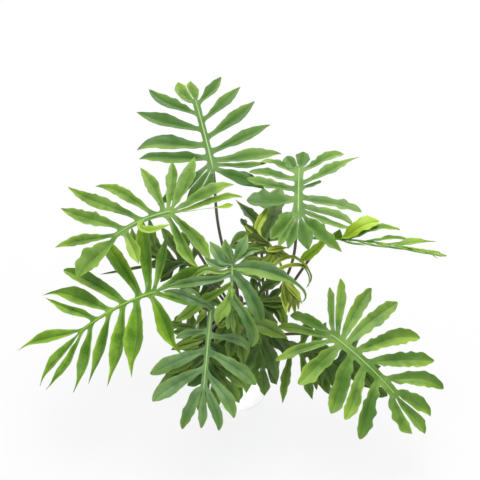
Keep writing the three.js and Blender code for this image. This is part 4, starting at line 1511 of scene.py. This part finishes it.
    ]),
    Leaf("leaf_right_lower", "stem_front", 124, (129, -84, 200), -38, -30, 22, 6, 3, 116, 22, -12,
         Tone.MID_GREEN, [
        (110, -3, 74, 24), (6, 141, 70, 11), (9, 131.5, 84, 14), (16, 106, 88, 19), (22, 85, 98, 22),
        (36, 59, 99, 21, 30), (57, 49.5, 101, 21), (85, 38, 94, 20), (106, 15, 69, 22), (107, -15, 67, 21),
        (85, -61, 87, 21, 30), (60, -65, 80, 20), (36, -63.5, 88, 25, 30), (18, -91, 82, 23, 30),
        (8, -113, 88, 13), (4, -142, 78, 13, 30), (0, -158, 61, 16),
    ], Outline.STRAP, wing=6.5, hub_wing=7, root_share=0.6, ruffle=1.1, looks={
        0: Look(bow=0.06, outline=Outline.WEBBED, split=-0.3), 1: Look(bow=-0.03, tint_and_painted_light=-0.25),
        2: Look(bow=-0.05), 3: Look(tint_and_painted_light=0.15), 4: Look(tint_and_painted_light=0.15, split=-0.1),
        5: Look(bow=0.06, split=-0.5), 6: Look(split=-0.45), 7: Look(bow=0.09, split=-0.4),
        8: Look(bow=0.08, outline=Outline.WEBBED, split=-0.35, tint_and_painted_light=-0.1),
        9: Look(bow=-0.07, outline=Outline.WEBBED, tint_and_painted_light=-0.1), 10: Look(tint_and_painted_light=-0.5, bow=0.02),
        11: Look(bow=0.06, split=-0.2), 12: Look(bow=0.04, split=-0.2), 13: Look(bow=0.04, tint_and_painted_light=0.15),
        14: Look(bow=-0.01), 15: Look(bow=-0.04, tint_and_painted_light=-0.1), 16: Look(bow=-0.07, tint_and_painted_light=-0.4),
    }, shade=-0.15),
    Leaf("leaf_low_right", "stem_front", 108, (75, -54, 150), -22, -22, 22, 6, 3, 126, 19, -6,
         Tone.DARK_GREEN, [
        (5, -71.5, 82, 13), (17, -48, 71, 17), (41, -42, 55, 18), (70, -48, 48, 17), (29, 89, 54, 17),
        (15, 96, 54, 16), (69, 77, 57, 16), (98, 50, 46, 15), (122, 3, 34, 15),
    ], free_lobes=[
        FreeLobe(30, ((106, -73, 137), (108, -89, 126), (112, -104, 112)), 13, tint_and_painted_light=-0.3),
        FreeLobe(22, ((101, -59, 144), (117, -56, 142), (142, -54, 136)), 14, tint_and_painted_light=-0.5),
        FreeLobe(24, ((106, -68, 138), (113, -83, 130), (119, -100, 112)), 20, tint_and_painted_light=-0.4),
        FreeLobe(70, ((159, -66, 127), (168, -74, 122), (177, -84, 110)), 20, tint_and_painted_light=-0.4),
        FreeLobe(92, ((176, -74, 118), (186, -84, 111), (194, -93, 101)), 20, tint_and_painted_light=-0.4),
        FreeLobe(50, ((123, -73, 134), (128, -81, 126), (135, -97, 111)), 22, tint_and_painted_light=-0.4),
    ], wing=6.0, hub_wing=7),
    Leaf("leaf_low_front", "stem_front", 120, (25, -59.5, 194), -65, -45, 0, 6, 3, 57, -3, 2,
         Tone.DARK_GREEN, [
        (5, 52, 55, 14), (21, 28, 40, 15), (26, -46, 46, 18), (50, -15, 48, 21), (52, 14, 36, 17),
        (9, -66, 40, 18), (2, 115, 38, 16),
    ], shade=-0.25, free_lobes=[
        FreeLobe(8, ((40, -78.5, 176), (50, -93.5, 157), (58, -106.5, 133)), 19, tint_and_painted_light=-0.3),
        FreeLobe(2, ((44, -67.5, 186), (61, -75.5, 171), (72, -82.5, 153)), 16, tint_and_painted_light=-0.5),
    ]),
    Leaf("leaf_low_left", "stem_tall", 158, (-40, -79, 195), -95, -50, 0, 6, 3, 62, 14, -3, Tone.DARK_GREEN, [
        (20, -48, 95, 19), (4, -107, 49, 16), (42, 41, 64, 24), (31, 54, 67, 22), (58, -20, 49, 18),
        (60, 8, 47, 16),
    ], free_lobes=[
        FreeLobe(2, ((-51, -85, 190), (-62, -88, 187), (-75, -89, 180)), 18, Outline.ROUNDED, tint_and_painted_light=-0.3),
        FreeLobe(0, ((-55, -82, 198), (-65, -86, 194), (-79, -88, 185)), 8, tint_and_painted_light=1.3),
        FreeLobe(16, ((-52, -94, 177), (-72, -103, 167), (-94, -109, 149)), 22, tint_and_painted_light=-0.2),
        FreeLobe(14, ((-29, -91, 184), (-18, -101, 175), (-6, -107, 160)), 24, tint_and_painted_light=-0.5),
        FreeLobe(40, ((-33, -112, 158), (-25, -121, 149), (-16, -128, 135)), 16, tint_and_painted_light=-0.5),
        FreeLobe(40, ((-44, -112, 157), (-54, -119, 148), (-66, -120, 138)), 16, tint_and_painted_light=-0.5),
        FreeLobe(22, ((-44, -99, 175), (-59, -103, 168), (-78, -109, 156)), 20, tint_and_painted_light=-0.3),
        FreeLobe(24, ((-41, -98, 177), (-48, -104, 169), (-56, -112, 154)), 22, tint_and_painted_light=-0.5),
        FreeLobe(0, ((-56, -81, 197), (-70, -78, 199), (-86, -74, 195)), 14, tint_and_painted_light=-0.3),
        FreeLobe(4, ((-53, -87, 190), (-70, -89, 186), (-88, -89, 176)), 13, tint_and_painted_light=1.2),
    ]),
    Leaf("leaf_young", "stem_right", 172, (43, -11, 300), -35, -30, 0, 6, 4, 52, -4, -18, Tone.OLIVE, [
        (11, 27, 28, 10), (50, -47, 50, 14), (50, -8, 36, 13), (23, -97, 42, 10), (0, -173, 39, 10),
    ], wing=2.0, hub_wing=3.5, looks={0: Look(tint_and_painted_light=0.4)}, free_lobes=[
        FreeLobe(1, ((33, -12, 307), (29, 6, 312), (36, 24, 316), (43, 40, 319)), 11, Outline.STRAP, 15,
                 tint_and_painted_light=0.4),
        FreeLobe(2, ((30, -11, 313), (22, -11, 324), (15, -11, 332), (14, -4, 337)), 6, fold=40, tint_and_painted_light=-1.2),
        FreeLobe(1, ((30, -18, 310), (21, -20, 317), (11, -28, 314)), 12, fold=35, tint_and_painted_light=-1.3),
        FreeLobe(4, ((30, -25, 307), (15, -39, 313), (3, -53, 307)), 9, fold=35, tint_and_painted_light=-0.7),
        FreeLobe(14, ((48, -48, 291), (60, -38, 294), (75, -30, 292), (88, -29, 282), (99, -30, 267),
                      (102, -33, 256), (96, -43, 248)), 8, Outline.STRAP, 25, tint_and_painted_light=-0.1),
        FreeLobe(18, ((48, -58, 287), (63, -46, 288), (81, -36, 283), (92, -32, 275), (99, -36, 262),
                      (99, -45, 253)), 7, Outline.STRAP, 20, tint_and_painted_light=0.2),
        FreeLobe(12, ((35, -47, 299), (22, -50, 306), (9, -55, 304)), 10, fold=30, tint_and_painted_light=-0.7),
        FreeLobe(14, ((40, -48, 296), (30, -60, 299), (19, -71, 294)), 12, fold=30, tint_and_painted_light=-0.4),
        FreeLobe(3, ((43, -24, 299), (57, -19, 297), (72, -7, 290)), 10, Outline.TAILED, tilt=20, tint_and_painted_light=0.9),
        FreeLobe(50, ((67, -73, 268), (69, -82, 259), (71, -90, 247)), 12, tint_and_painted_light=-0.5),
        FreeLobe(50, ((71, -71, 267), (76, -81, 257), (79, -89, 244)), 12, tint_and_painted_light=-0.7),
        FreeLobe(50, ((73, -66, 267), (81, -75, 256), (84, -81, 244)), 11, tint_and_painted_light=-0.3),
        FreeLobe(46, ((69, -66, 272), (80, -74, 263), (89, -77, 251)), 8, tint_and_painted_light=-0.2),
    ]),
    Leaf("leaf_inner", "stem_right", 150, (36, 42, 240), 110, 8, 0, 10, 8, 46, 0, 4, Tone.DARK_GREEN, [
        (42, 2, 30, 10), (12, 72, 46, 13), (36, -44, 48, 15), (14, -76, 48, 16), (2, -124, 46, 16),
    ], free_lobes=[
        FreeLobe(20, ((29, 91, 251), (15, 112, 254), (-1, 143, 251)), 15, Outline.TAILED),
        FreeLobe(12, ((47, 81, 249), (56, 120, 253), (63, 168, 251)), 26, Outline.STRAP),
        FreeLobe(10, ((21, 59, 245), (7, 63, 247), (-8, 54, 240)), 15, tint_and_painted_light=0.1),
        FreeLobe(0, ((17, 24, 238), (10, 2, 238), (24, -9, 237), (42, -14, 230)), 15, tint_and_painted_light=-0.1),
    ]),
    Leaf("leaf_mid_left", "stem_tall", 106, (-52, 24, 160), 190, -22, -12, 6, 4, 28, 0, 8, Tone.DARK_GREEN, [
        (20, 32, 39, 19), (13, 70, 59, 18), (0, 85, 69, 18), (-1, 120, 32, 13), (2, -95, 41, 13),
        (7, -67, 42, 11),
    ], free_lobes=[
        FreeLobe(0, ((-43, 25, 167), (-31, 14, 169), (-18, 4, 169)), 16, tint_and_painted_light=-0.2),
        FreeLobe(0, ((-57, 39, 167), (-67, 46, 166), (-76, 51, 162)), 10, tint_and_painted_light=1.1),
        FreeLobe(0, ((-51, 22, 171), (-62, 30, 176), (-80, 37, 169)), 15, fold=35, tint_and_painted_light=1.1),
        FreeLobe(0, ((-43, -5, 166), (-50, -14, 160), (-60, -18, 149)), 12, fold=30, tint_and_painted_light=1.1),
        FreeLobe(0, ((-20, 46, 182), (-43, 49, 177), (-72, 55, 164)), 16, tint_and_painted_light=0.4),
        FreeLobe(0, ((-47, 31, 167), (-40, 36, 174), (-30, 47, 177)), 14, tint_and_painted_light=-0.6),
    ]),
    Leaf("leaf_low_middle", "stem_front", 104, (3, -62, 184), -84, -50, 0, 6, 3, 38, 6, 0, Tone.MID_GREEN, [
        (37, -10, 61, 24), (36, 1, 50, 18), (32, 26, 50, 18), (24, 45, 43, 17), (21, -36, 52, 21),
        (13, -62, 44, 19), (6, 66, 18, 13), (1, -78, 34, 17),
    ], free_lobes=[
        FreeLobe(4, ((-10, -70, 180), (-21, -77, 174), (-30, -85, 160)), 16, tint_and_painted_light=0.2),
        FreeLobe(12, ((-4, -76, 172), (-10, -88, 159), (-13, -99, 143)), 18, tint_and_painted_light=-0.5),
        FreeLobe(8, ((13, -69, 175), (25, -77, 161), (31, -92, 137)), 20, tint_and_painted_light=-0.3),
        FreeLobe(10, ((-16, -77, 172), (-21, -92, 156), (-15, -99, 139)), 22, tint_and_painted_light=-0.6),
        FreeLobe(14, ((-12, -83, 166), (-14, -95, 152), (-6, -103, 133)), 22, tint_and_painted_light=-0.6),
        FreeLobe(14, ((-18, -82, 169), (-24, -96, 153), (-13, -104, 135)), 20, tint_and_painted_light=-0.6),
    ], shade=-0.3),
    Leaf("leaf_left_inner", "stem_tall", 137, (-65, 46, 215), 178, -6, -20, 6, 4, 29, 0, -2,
         Tone.DARK_GREEN, [
        (27, 2, 33, 16), (20, -44, 50, 16), (11, -62, 71, 16), (4, -80, 53, 14), (20, 53, 37, 16),
        (9, 77, 41, 15), (0, -115, 39, 14), (0, 124, 36, 13),
    ], free_lobes=[
        FreeLobe(26, ((-119, 81, 226), (-122, 98, 232), (-126, 118, 236)), 14, tint_and_painted_light=0.2),
        FreeLobe(28, ((-132, 66, 218), (-145, 84, 224), (-151, 106, 229)), 14, tint_and_painted_light=0.2),
        FreeLobe(28, ((-133, 42, 209), (-164, 38, 205), (-193, 38, 199)), 5, tint_and_painted_light=0.2),
        FreeLobe(22, ((-119, 66, 220), (-121, 83, 228), (-125, 108, 237)), 14, tint_and_painted_light=-0.2),
        FreeLobe(8, ((-90, 38, 213), (-98, 32, 210), (-111, 24, 201)), 18, tint_and_painted_light=0.1),
    ]),
    Leaf("leaf_front_inner", "stem_right", 152, (-1, -73, 245), -82, -52, 0, 6, 3, 28, 2, 0,
         Tone.DARK_GREEN, [
        (26, 4, 56, 19), (27, -18, 47, 18), (17, 38, 50, 18), (14, -42, 48, 18), (5, 58, 38, 16),
        (4, -80, 14, 10),
    ], free_lobes=[
        FreeLobe(16, ((19, -87, 227), (41, -91, 222), (70, -92, 202)), 20, tint_and_painted_light=0.4),
        FreeLobe(6, ((-1, -81, 238), (1, -87, 230), (3, -94, 215)), 14, tint_and_painted_light=-0.2),
        FreeLobe(2, ((-10, -85, 246), (-19, -91, 247.5), (-28, -92, 240.5)), 12, tint_and_painted_light=0.9),
        FreeLobe(8, ((-9, -92, 236), (-18, -97, 231), (-27, -94, 229)), 8, tint_and_painted_light=1.0),
        FreeLobe(1, ((-3, -81, 240), (1, -95, 224), (2, -106, 203)), 13, tint_and_painted_light=0.3),
    ]),
    Leaf("leaf_mid_right", "stem_front", 142, (31, -33, 222), -30, -25, 10, 6, 4, 26, 0, 1, Tone.DARK_GREEN, [
        (22, 49, 31, 13), (23, -8, 32, 16), (11, -34, 49, 16), (3, -61, 49, 17), (11, 77, 37, 12),
        (0, 140, 32, 13),
    ], free_lobes=[
        FreeLobe(1, ((36, -25, 226), (47, -15, 229), (63, -4, 224)), 14, fold=30, tint_and_painted_light=0.2),
        FreeLobe(8, ((39, -43, 218), (54, -43, 216), (73, -29, 211)), 16, fold=20, tint_and_painted_light=0.35),
        FreeLobe(18, ((55, -42, 213), (63, -51, 207), (66, -63, 192)), 11, Outline.STRAP, 35, tint_and_painted_light=0.8),
        FreeLobe(4, ((36, -40, 221), (52, -38, 219), (72, -30, 212)), 15, tint_and_painted_light=0.3),
        FreeLobe(4, ((36, -51, 214), (44, -64, 208), (49, -76, 197)), 15, tint_and_painted_light=-0.3),
    ]),
]


@dataclass
class RolledLeaf:
    """New leaf, still rolled up at the top of its stalk."""

    stem: str = "stem_right"
    joint: float = 166.0
    base: tuple[float, float, float] = (26, 26, 268)
    top: tuple[float, float, float] = (40, 34, 306)
    radius: float = 2.8
    narrowing: float = 0.45
    slant: float = 0.04
    stalk_radius: float = 1.68
    overlap: float = 3.0
    turns: float = 1.9
    thickness: float = 0.35
    columns: int = 40
    rows: int = 24
    outline: Table = ((0, 0.42), (0.2, 0.8), (0.45, 1), (0.8, 0.6), (1, 0.14))

    def build(self, shop: Workshop) -> None:
        """Builds the roll and its stalk.

        Args:
            shop: Workshop that makes the pieces.
        """
        start, end = Vector(self.base), Vector(self.top)
        axis = end - start
        turn = UP.rotation_difference(axis.normalized()).to_matrix().to_4x4()
        mesh = bmesh.new()
        layer = mesh.verts.layers.float_vector.new("lobe")
        made = bmesh.ops.create_grid(mesh, x_segments=self.columns, y_segments=self.rows, size=0.5)
        for vertex in made["verts"]:
            around, up = vertex.co.x + 0.5, vertex.co.y + 0.5
            angle = 2 * math.pi * self.turns * around
            radius = self.radius * read_table(self.outline, up) * (1 - self.narrowing * around)
            height = axis.length * (up + self.slant * math.sin(math.pi * around) * up)
            vertex.co = (radius * math.cos(angle), radius * math.sin(angle), height)
            vertex[layer] = (around * 30, up * axis.length, 0.3 + 0.6 * abs(around - 0.5))
        bmesh.ops.transform(mesh, matrix=Matrix.Translation(start) @ turn, verts=mesh.verts)
        roll = shop.piece("roll_new_leaf", mesh, [FINISHES[Tone.OLIVE]], Tone.OLIVE.value, "leaf_rolled")
        thicken(roll, self.thickness)

        mesh = bmesh.new()
        mesh.verts.layers.float.new("along")
        path = petiole_path(STEMS[self.stem], self.joint, start, 32)
        path.append(start + axis.normalized() * self.overlap)
        marks = [0.2 + 0.9 * i / len(path) for i in range(len(path))]
        sweep(mesh, path, [self.stalk_radius] * len(path), STALK_SIDES, marks)
        bmesh.ops.recalc_face_normals(mesh, faces=mesh.faces)
        shop.piece("stalk_new_leaf", mesh, [STALKS[Tone.OLIVE]], Tone.OLIVE.value, "leaf_rolled")


@dataclass
class DrySheath:
    """Papery remains of an old leaf's sheath against a stem."""

    name: str
    stem: str
    side: float
    height: float
    width: float
    standoff: float = 1.6
    flare: float = 4.0
    crinkle: float = 0.5
    narrowing: float = 0.85
    thickness: float = 0.5
    columns: int = 12
    rows: int = 28

    def build(self, shop: Workshop) -> None:
        """Builds the sheath as a thin curved sheet with a ragged end.

        Args:
            shop: Workshop that makes the piece.
        """
        stem = STEMS[self.stem]
        turn = math.radians(self.side)
        chance = random.Random(self.name)
        ragged = [chance.uniform(0.78, 1.0) for _ in range(self.columns + 1)]
        mesh = bmesh.new()
        made = bmesh.ops.create_grid(mesh, x_segments=self.columns, y_segments=self.rows, size=0.5)
        for i, vertex in enumerate(made["verts"]):
            row, column = divmod(i, self.columns + 1)
            share = row / self.rows
            v = 2 * vertex.co.x
            u = share * (1 - (1 - ragged[column]) * eased(share, 1))
            spot = stem.axis(SOIL_TOP + SOIL_LUMP + 1 + self.height * u)
            angle = turn + 0.5 * self.width * (1 - self.narrowing * u * u) * v / stem.radius
            out = stem.radius + self.standoff + self.flare * u ** 3 + self.crinkle * math.sin(9 * v + 5 * u)
            vertex.co = spot + Vector((math.cos(angle), math.sin(angle), 0)) * out
        bmesh.ops.recalc_face_normals(mesh, faces=mesh.faces)
        name = self.name.replace("dry_sheath", "papery_sheath")
        thicken(shop.piece(name, mesh, [DRY_SHEATH], "dry_sheath", self.name), self.thickness)


DRY_SHEATHS = [
    DrySheath("dry_sheath_tall", "stem_tall", -70, 74, 13),
    DrySheath("dry_sheath_right", "stem_right", -100, 46, 12),
    DrySheath("dry_sheath_front", "stem_front", 75, 38, 11),
]


@dataclass(frozen=True)
class Crumb:
    """Kind of loose piece on the soil, with its share of the crumbs and its proportions."""

    finish: EarthyFinish
    share: int
    shape: tuple[float, float, float]


CRUMBS = (
    Crumb(SOIL, 6, (1, 1, 0.8)),
    Crumb(BARK, 3, (2.0, 0.9, 0.5)),
    Crumb(PERLITE, 1, (0.8, 0.8, 0.8)),
)


@dataclass
class Pot:
    """Plain round white pot, wider at the rim, with the soil in it."""

    height: float = 115.0
    base_radius: float = 45.0
    rim_radius: float = 62.0
    wall: float = 3.2
    floor: float = 4.0
    edge: float = 1.6
    rim_round: float = 1.1
    ring_margin: float = 8.0
    rings: int = 12
    steps: int = 128
    soil_shoulder: float = 4.0
    soil_edge: float = 2.5
    soil_ring_step: float = 2.2
    soil_rings: int = 24
    crumbs: int = 620
    crumb_edge: float = 3.5

    def radius_at(self, height: float) -> float:
        """Outer radius at a height."""
        return self.base_radius + (self.rim_radius - self.base_radius) * height / self.height

    def soil_radius(self, height: float) -> float:
        """Radius of the soil at a height."""
        return self.radius_at(height) - self.wall - FIT

    def spin(self, profile: Sequence[tuple[float, float]]) -> bmesh.types.BMesh:
        """Turns a profile round the pot's axis.

        Args:
            profile: Corners as (radius, height), from the axis back to it.

        Returns:
            The closed mesh.
        """
        mesh = bmesh.new()
        corners = [mesh.verts.new((radius, 0, height)) for radius, height in profile]
        edges = [mesh.edges.new(pair) for pair in zip(corners, corners[1:])]
        bmesh.ops.spin(mesh, geom=[*corners, *edges], cent=(0, 0, 0), axis=UP, angle=2 * math.pi,
                       steps=self.steps, use_merge=True)
        bmesh.ops.remove_doubles(mesh, verts=mesh.verts, dist=0.01)
        bmesh.ops.recalc_face_normals(mesh, faces=mesh.faces)
        return mesh

    def build(self, shop: Workshop) -> None:
        """Builds the pot.

        Args:
            shop: Workshop that makes the piece.
        """
        top, wall, margin = self.height, self.wall, self.ring_margin
        heights = [margin + (top - 2 * margin) * i / self.rings for i in range(self.rings + 1)]
        outside = [(self.radius_at(height), height) for height in heights]
        inside = [(self.radius_at(height) - wall, height) for height in reversed(heights)]
        mesh = self.spin([
            (0, 0), (self.base_radius - self.edge, 0), (self.radius_at(self.edge), self.edge), *outside,
            (self.radius_at(top), top), (self.radius_at(top) - wall, top), *inside,
            (self.radius_at(self.floor) - wall, self.floor), (0, self.floor),
        ])
        rim = [edge for edge in mesh.edges if all(end.co.z > top - 0.1 for end in edge.verts)]
        rim = [edge for edge in rim if abs(edge.verts[0].co.xy.length - edge.verts[1].co.xy.length) < 0.5]
        bmesh.ops.bevel(mesh, geom=rim, offset=self.rim_round, affect="EDGES", segments=4, profile=0.5,
                        material=-1)
        shop.piece("white_pot", mesh, [POT], "pot", "pot")

    def build_soil(self, shop: Workshop) -> None:
        """Builds the lumpy plug of potting mix.

        Args:
            shop: Workshop that makes the piece.
        """
        bottom = self.floor + FIT
        shoulder = SOIL_TOP - self.soil_shoulder
        edge = self.soil_radius(SOIL_TOP) - self.soil_edge
        radii = [edge - self.soil_ring_step * i for i in range(self.soil_rings)]
        mesh = self.spin([
            (0, bottom), (self.soil_radius(bottom), bottom), (self.soil_radius(shoulder), shoulder),
            *((radius, SOIL_TOP) for radius in radii if radius > 0), (0, SOIL_TOP),
        ])
        for vertex in mesh.verts:
            if vertex.co.z > SOIL_TOP - 0.1:
                vertex.co.z += self.lump(vertex.co)
        shop.piece("soil_plug", mesh, [SOIL], "soil", "soil")

    def build_crumbs(self, shop: Workshop) -> None:
        """Scatters loose crumbs, bark and perlite on the soil.

        Args:
            shop: Workshop that makes the piece.
        """
        chance = random.Random("crumbs")
        shares = [crumb.share for crumb in CRUMBS]
        mesh = bmesh.new()
        for _ in range(self.crumbs):
            radius = (self.soil_radius(SOIL_TOP) - self.crumb_edge) * math.sqrt(chance.random())
            angle = chance.uniform(0, 2 * math.pi)
            spot = Vector((radius * math.cos(angle), radius * math.sin(angle), SOIL_TOP))
            kind = chance.choices(range(len(CRUMBS)), shares)[0]
            size = chance.uniform(0.9, 2.3)
            spot.z += self.lump(spot) + 0.2 * size
            heading = Matrix.Rotation(chance.uniform(0, 6.28), 4, "Z")
            lean = Matrix.Rotation(chance.uniform(-0.5, 0.5), 4, "X")
            stretch = Matrix.Diagonal((*CRUMBS[kind].shape, 1))
            place = Matrix.Translation(spot) @ heading @ lean @ stretch
            made = bmesh.ops.create_icosphere(mesh, subdivisions=1, radius=size, matrix=place)["verts"]
            for vertex in made:
                vertex.co += (vertex.co - spot) * chance.uniform(-0.25, 0.25)
            for face in {face for vertex in made for face in vertex.link_faces}:
                face.material_index = kind
        shop.piece("soil_crumbs", mesh, [crumb.finish for crumb in CRUMBS], "soil")

    @staticmethod
    def lump(spot: Vector) -> float:
        """Height of the soil's lumps at a place."""
        wide = SOIL_LUMP * 0.5 * math.sin(spot.x * 0.16 + 1) * math.cos(spot.y * 0.13)
        return wide + 0.8 * noise.noise(Vector((spot.x, spot.y, 0)) * 0.2)


@dataclass(frozen=True)
class Lamp:
    """Soft lamp that looks at the plant.

    It points at a height above the middle of the floor, the aim, and lights within an angle, the spread.
    """

    name: str
    place: tuple[float, float, float]
    width: float
    height: float
    power: float
    aim: float = 0.2
    spread: float = 180.0

    def build(self) -> None:
        """Hangs the lamp, which the camera itself doesn't see."""
        data = bpy.data.lights.new(self.name, "AREA")
        data.shape = "RECTANGLE"
        data.size = self.width
        data.size_y = self.height
        data.energy = self.power
        data.spread = math.radians(self.spread)
        lamp = bpy.data.objects.new(self.name, data)
        lamp.location = self.place
        aim = Vector((0, 0, self.aim)) - Vector(self.place)
        lamp.rotation_euler = aim.to_track_quat("-Z", "Y").to_euler()
        lamp.visible_camera = False
        bpy.context.scene.collection.objects.link(lamp)


@dataclass
class Studio:
    """Pale floor, soft light and the photograph's camera."""

    floor_size: float = 9000.0
    camera_place: tuple[float, float, float] = (0.006, -1.2873, 1.4152)
    camera_tilt: float = 49.0
    lens: float = 95.0
    sensor: float = 36.0
    world_strength: float = 0.6
    lamps: tuple[Lamp, ...] = (
        Lamp("top_lamp", (0.15, 0.1, 2.5), 1.5, 1.5, 58.0),
        Lamp("back_lamp", (0.0, 2.3, 1.1), 3.0, 1.2, 36.0),
        Lamp("front_lamp", (0.1, -1.0, 0.12), 0.6, 0.2, 1.3),
        Lamp("pot_lamp", (0.25, -1.0, 0.06), 0.1, 0.1, 0.035, 0.09, 14.0),
    )

    def build(self, shop: Workshop) -> None:
        """Builds the floor, the lights and the camera.

        Args:
            shop: Workshop that makes the floor.
        """
        mesh = bmesh.new()
        bmesh.ops.create_grid(mesh, x_segments=8, y_segments=8, size=self.floor_size / 2)
        shop.piece("floor", mesh, [FLOOR], None)
        self.light()
        data = bpy.data.cameras.new("camera")
        data.lens = self.lens
        data.sensor_width = self.sensor
        camera = bpy.data.objects.new("camera", data)
        camera.location = self.camera_place
        camera.rotation_euler = (math.radians(self.camera_tilt), 0, 0)
        bpy.context.scene.collection.objects.link(camera)
        bpy.context.scene.camera = camera
        bpy.context.scene.view_settings.view_transform = "Standard"

    def light(self) -> None:
        """Sets the white surroundings and hangs the lamps."""
        world = bpy.data.worlds.new("studio")
        world.use_nodes = True
        background = world.node_tree.nodes["Background"]
        background.inputs["Color"].default_value = (1, 1, 1, 1)
        background.inputs["Strength"].default_value = self.world_strength
        bpy.context.scene.world = world
        for lamp in self.lamps:
            lamp.build()


def main() -> None:
    """Builds the whole plant and the studio."""
    logging.basicConfig(level=logging.INFO, format="%(message)s")
    shop = Workshop()
    Studio().build(shop)
    pot = Pot()
    pot.build(shop)
    pot.build_soil(shop)
    pot.build_crumbs(shop)
    for stem in STEMS.values():
        stem.build(shop)
    for sheath in DRY_SHEATHS:
        sheath.build(shop)
    for leaf in LEAVES:
        leaf.build(shop)
    RolledLeaf().build(shop)


if __name__ == "__main__":
    main()
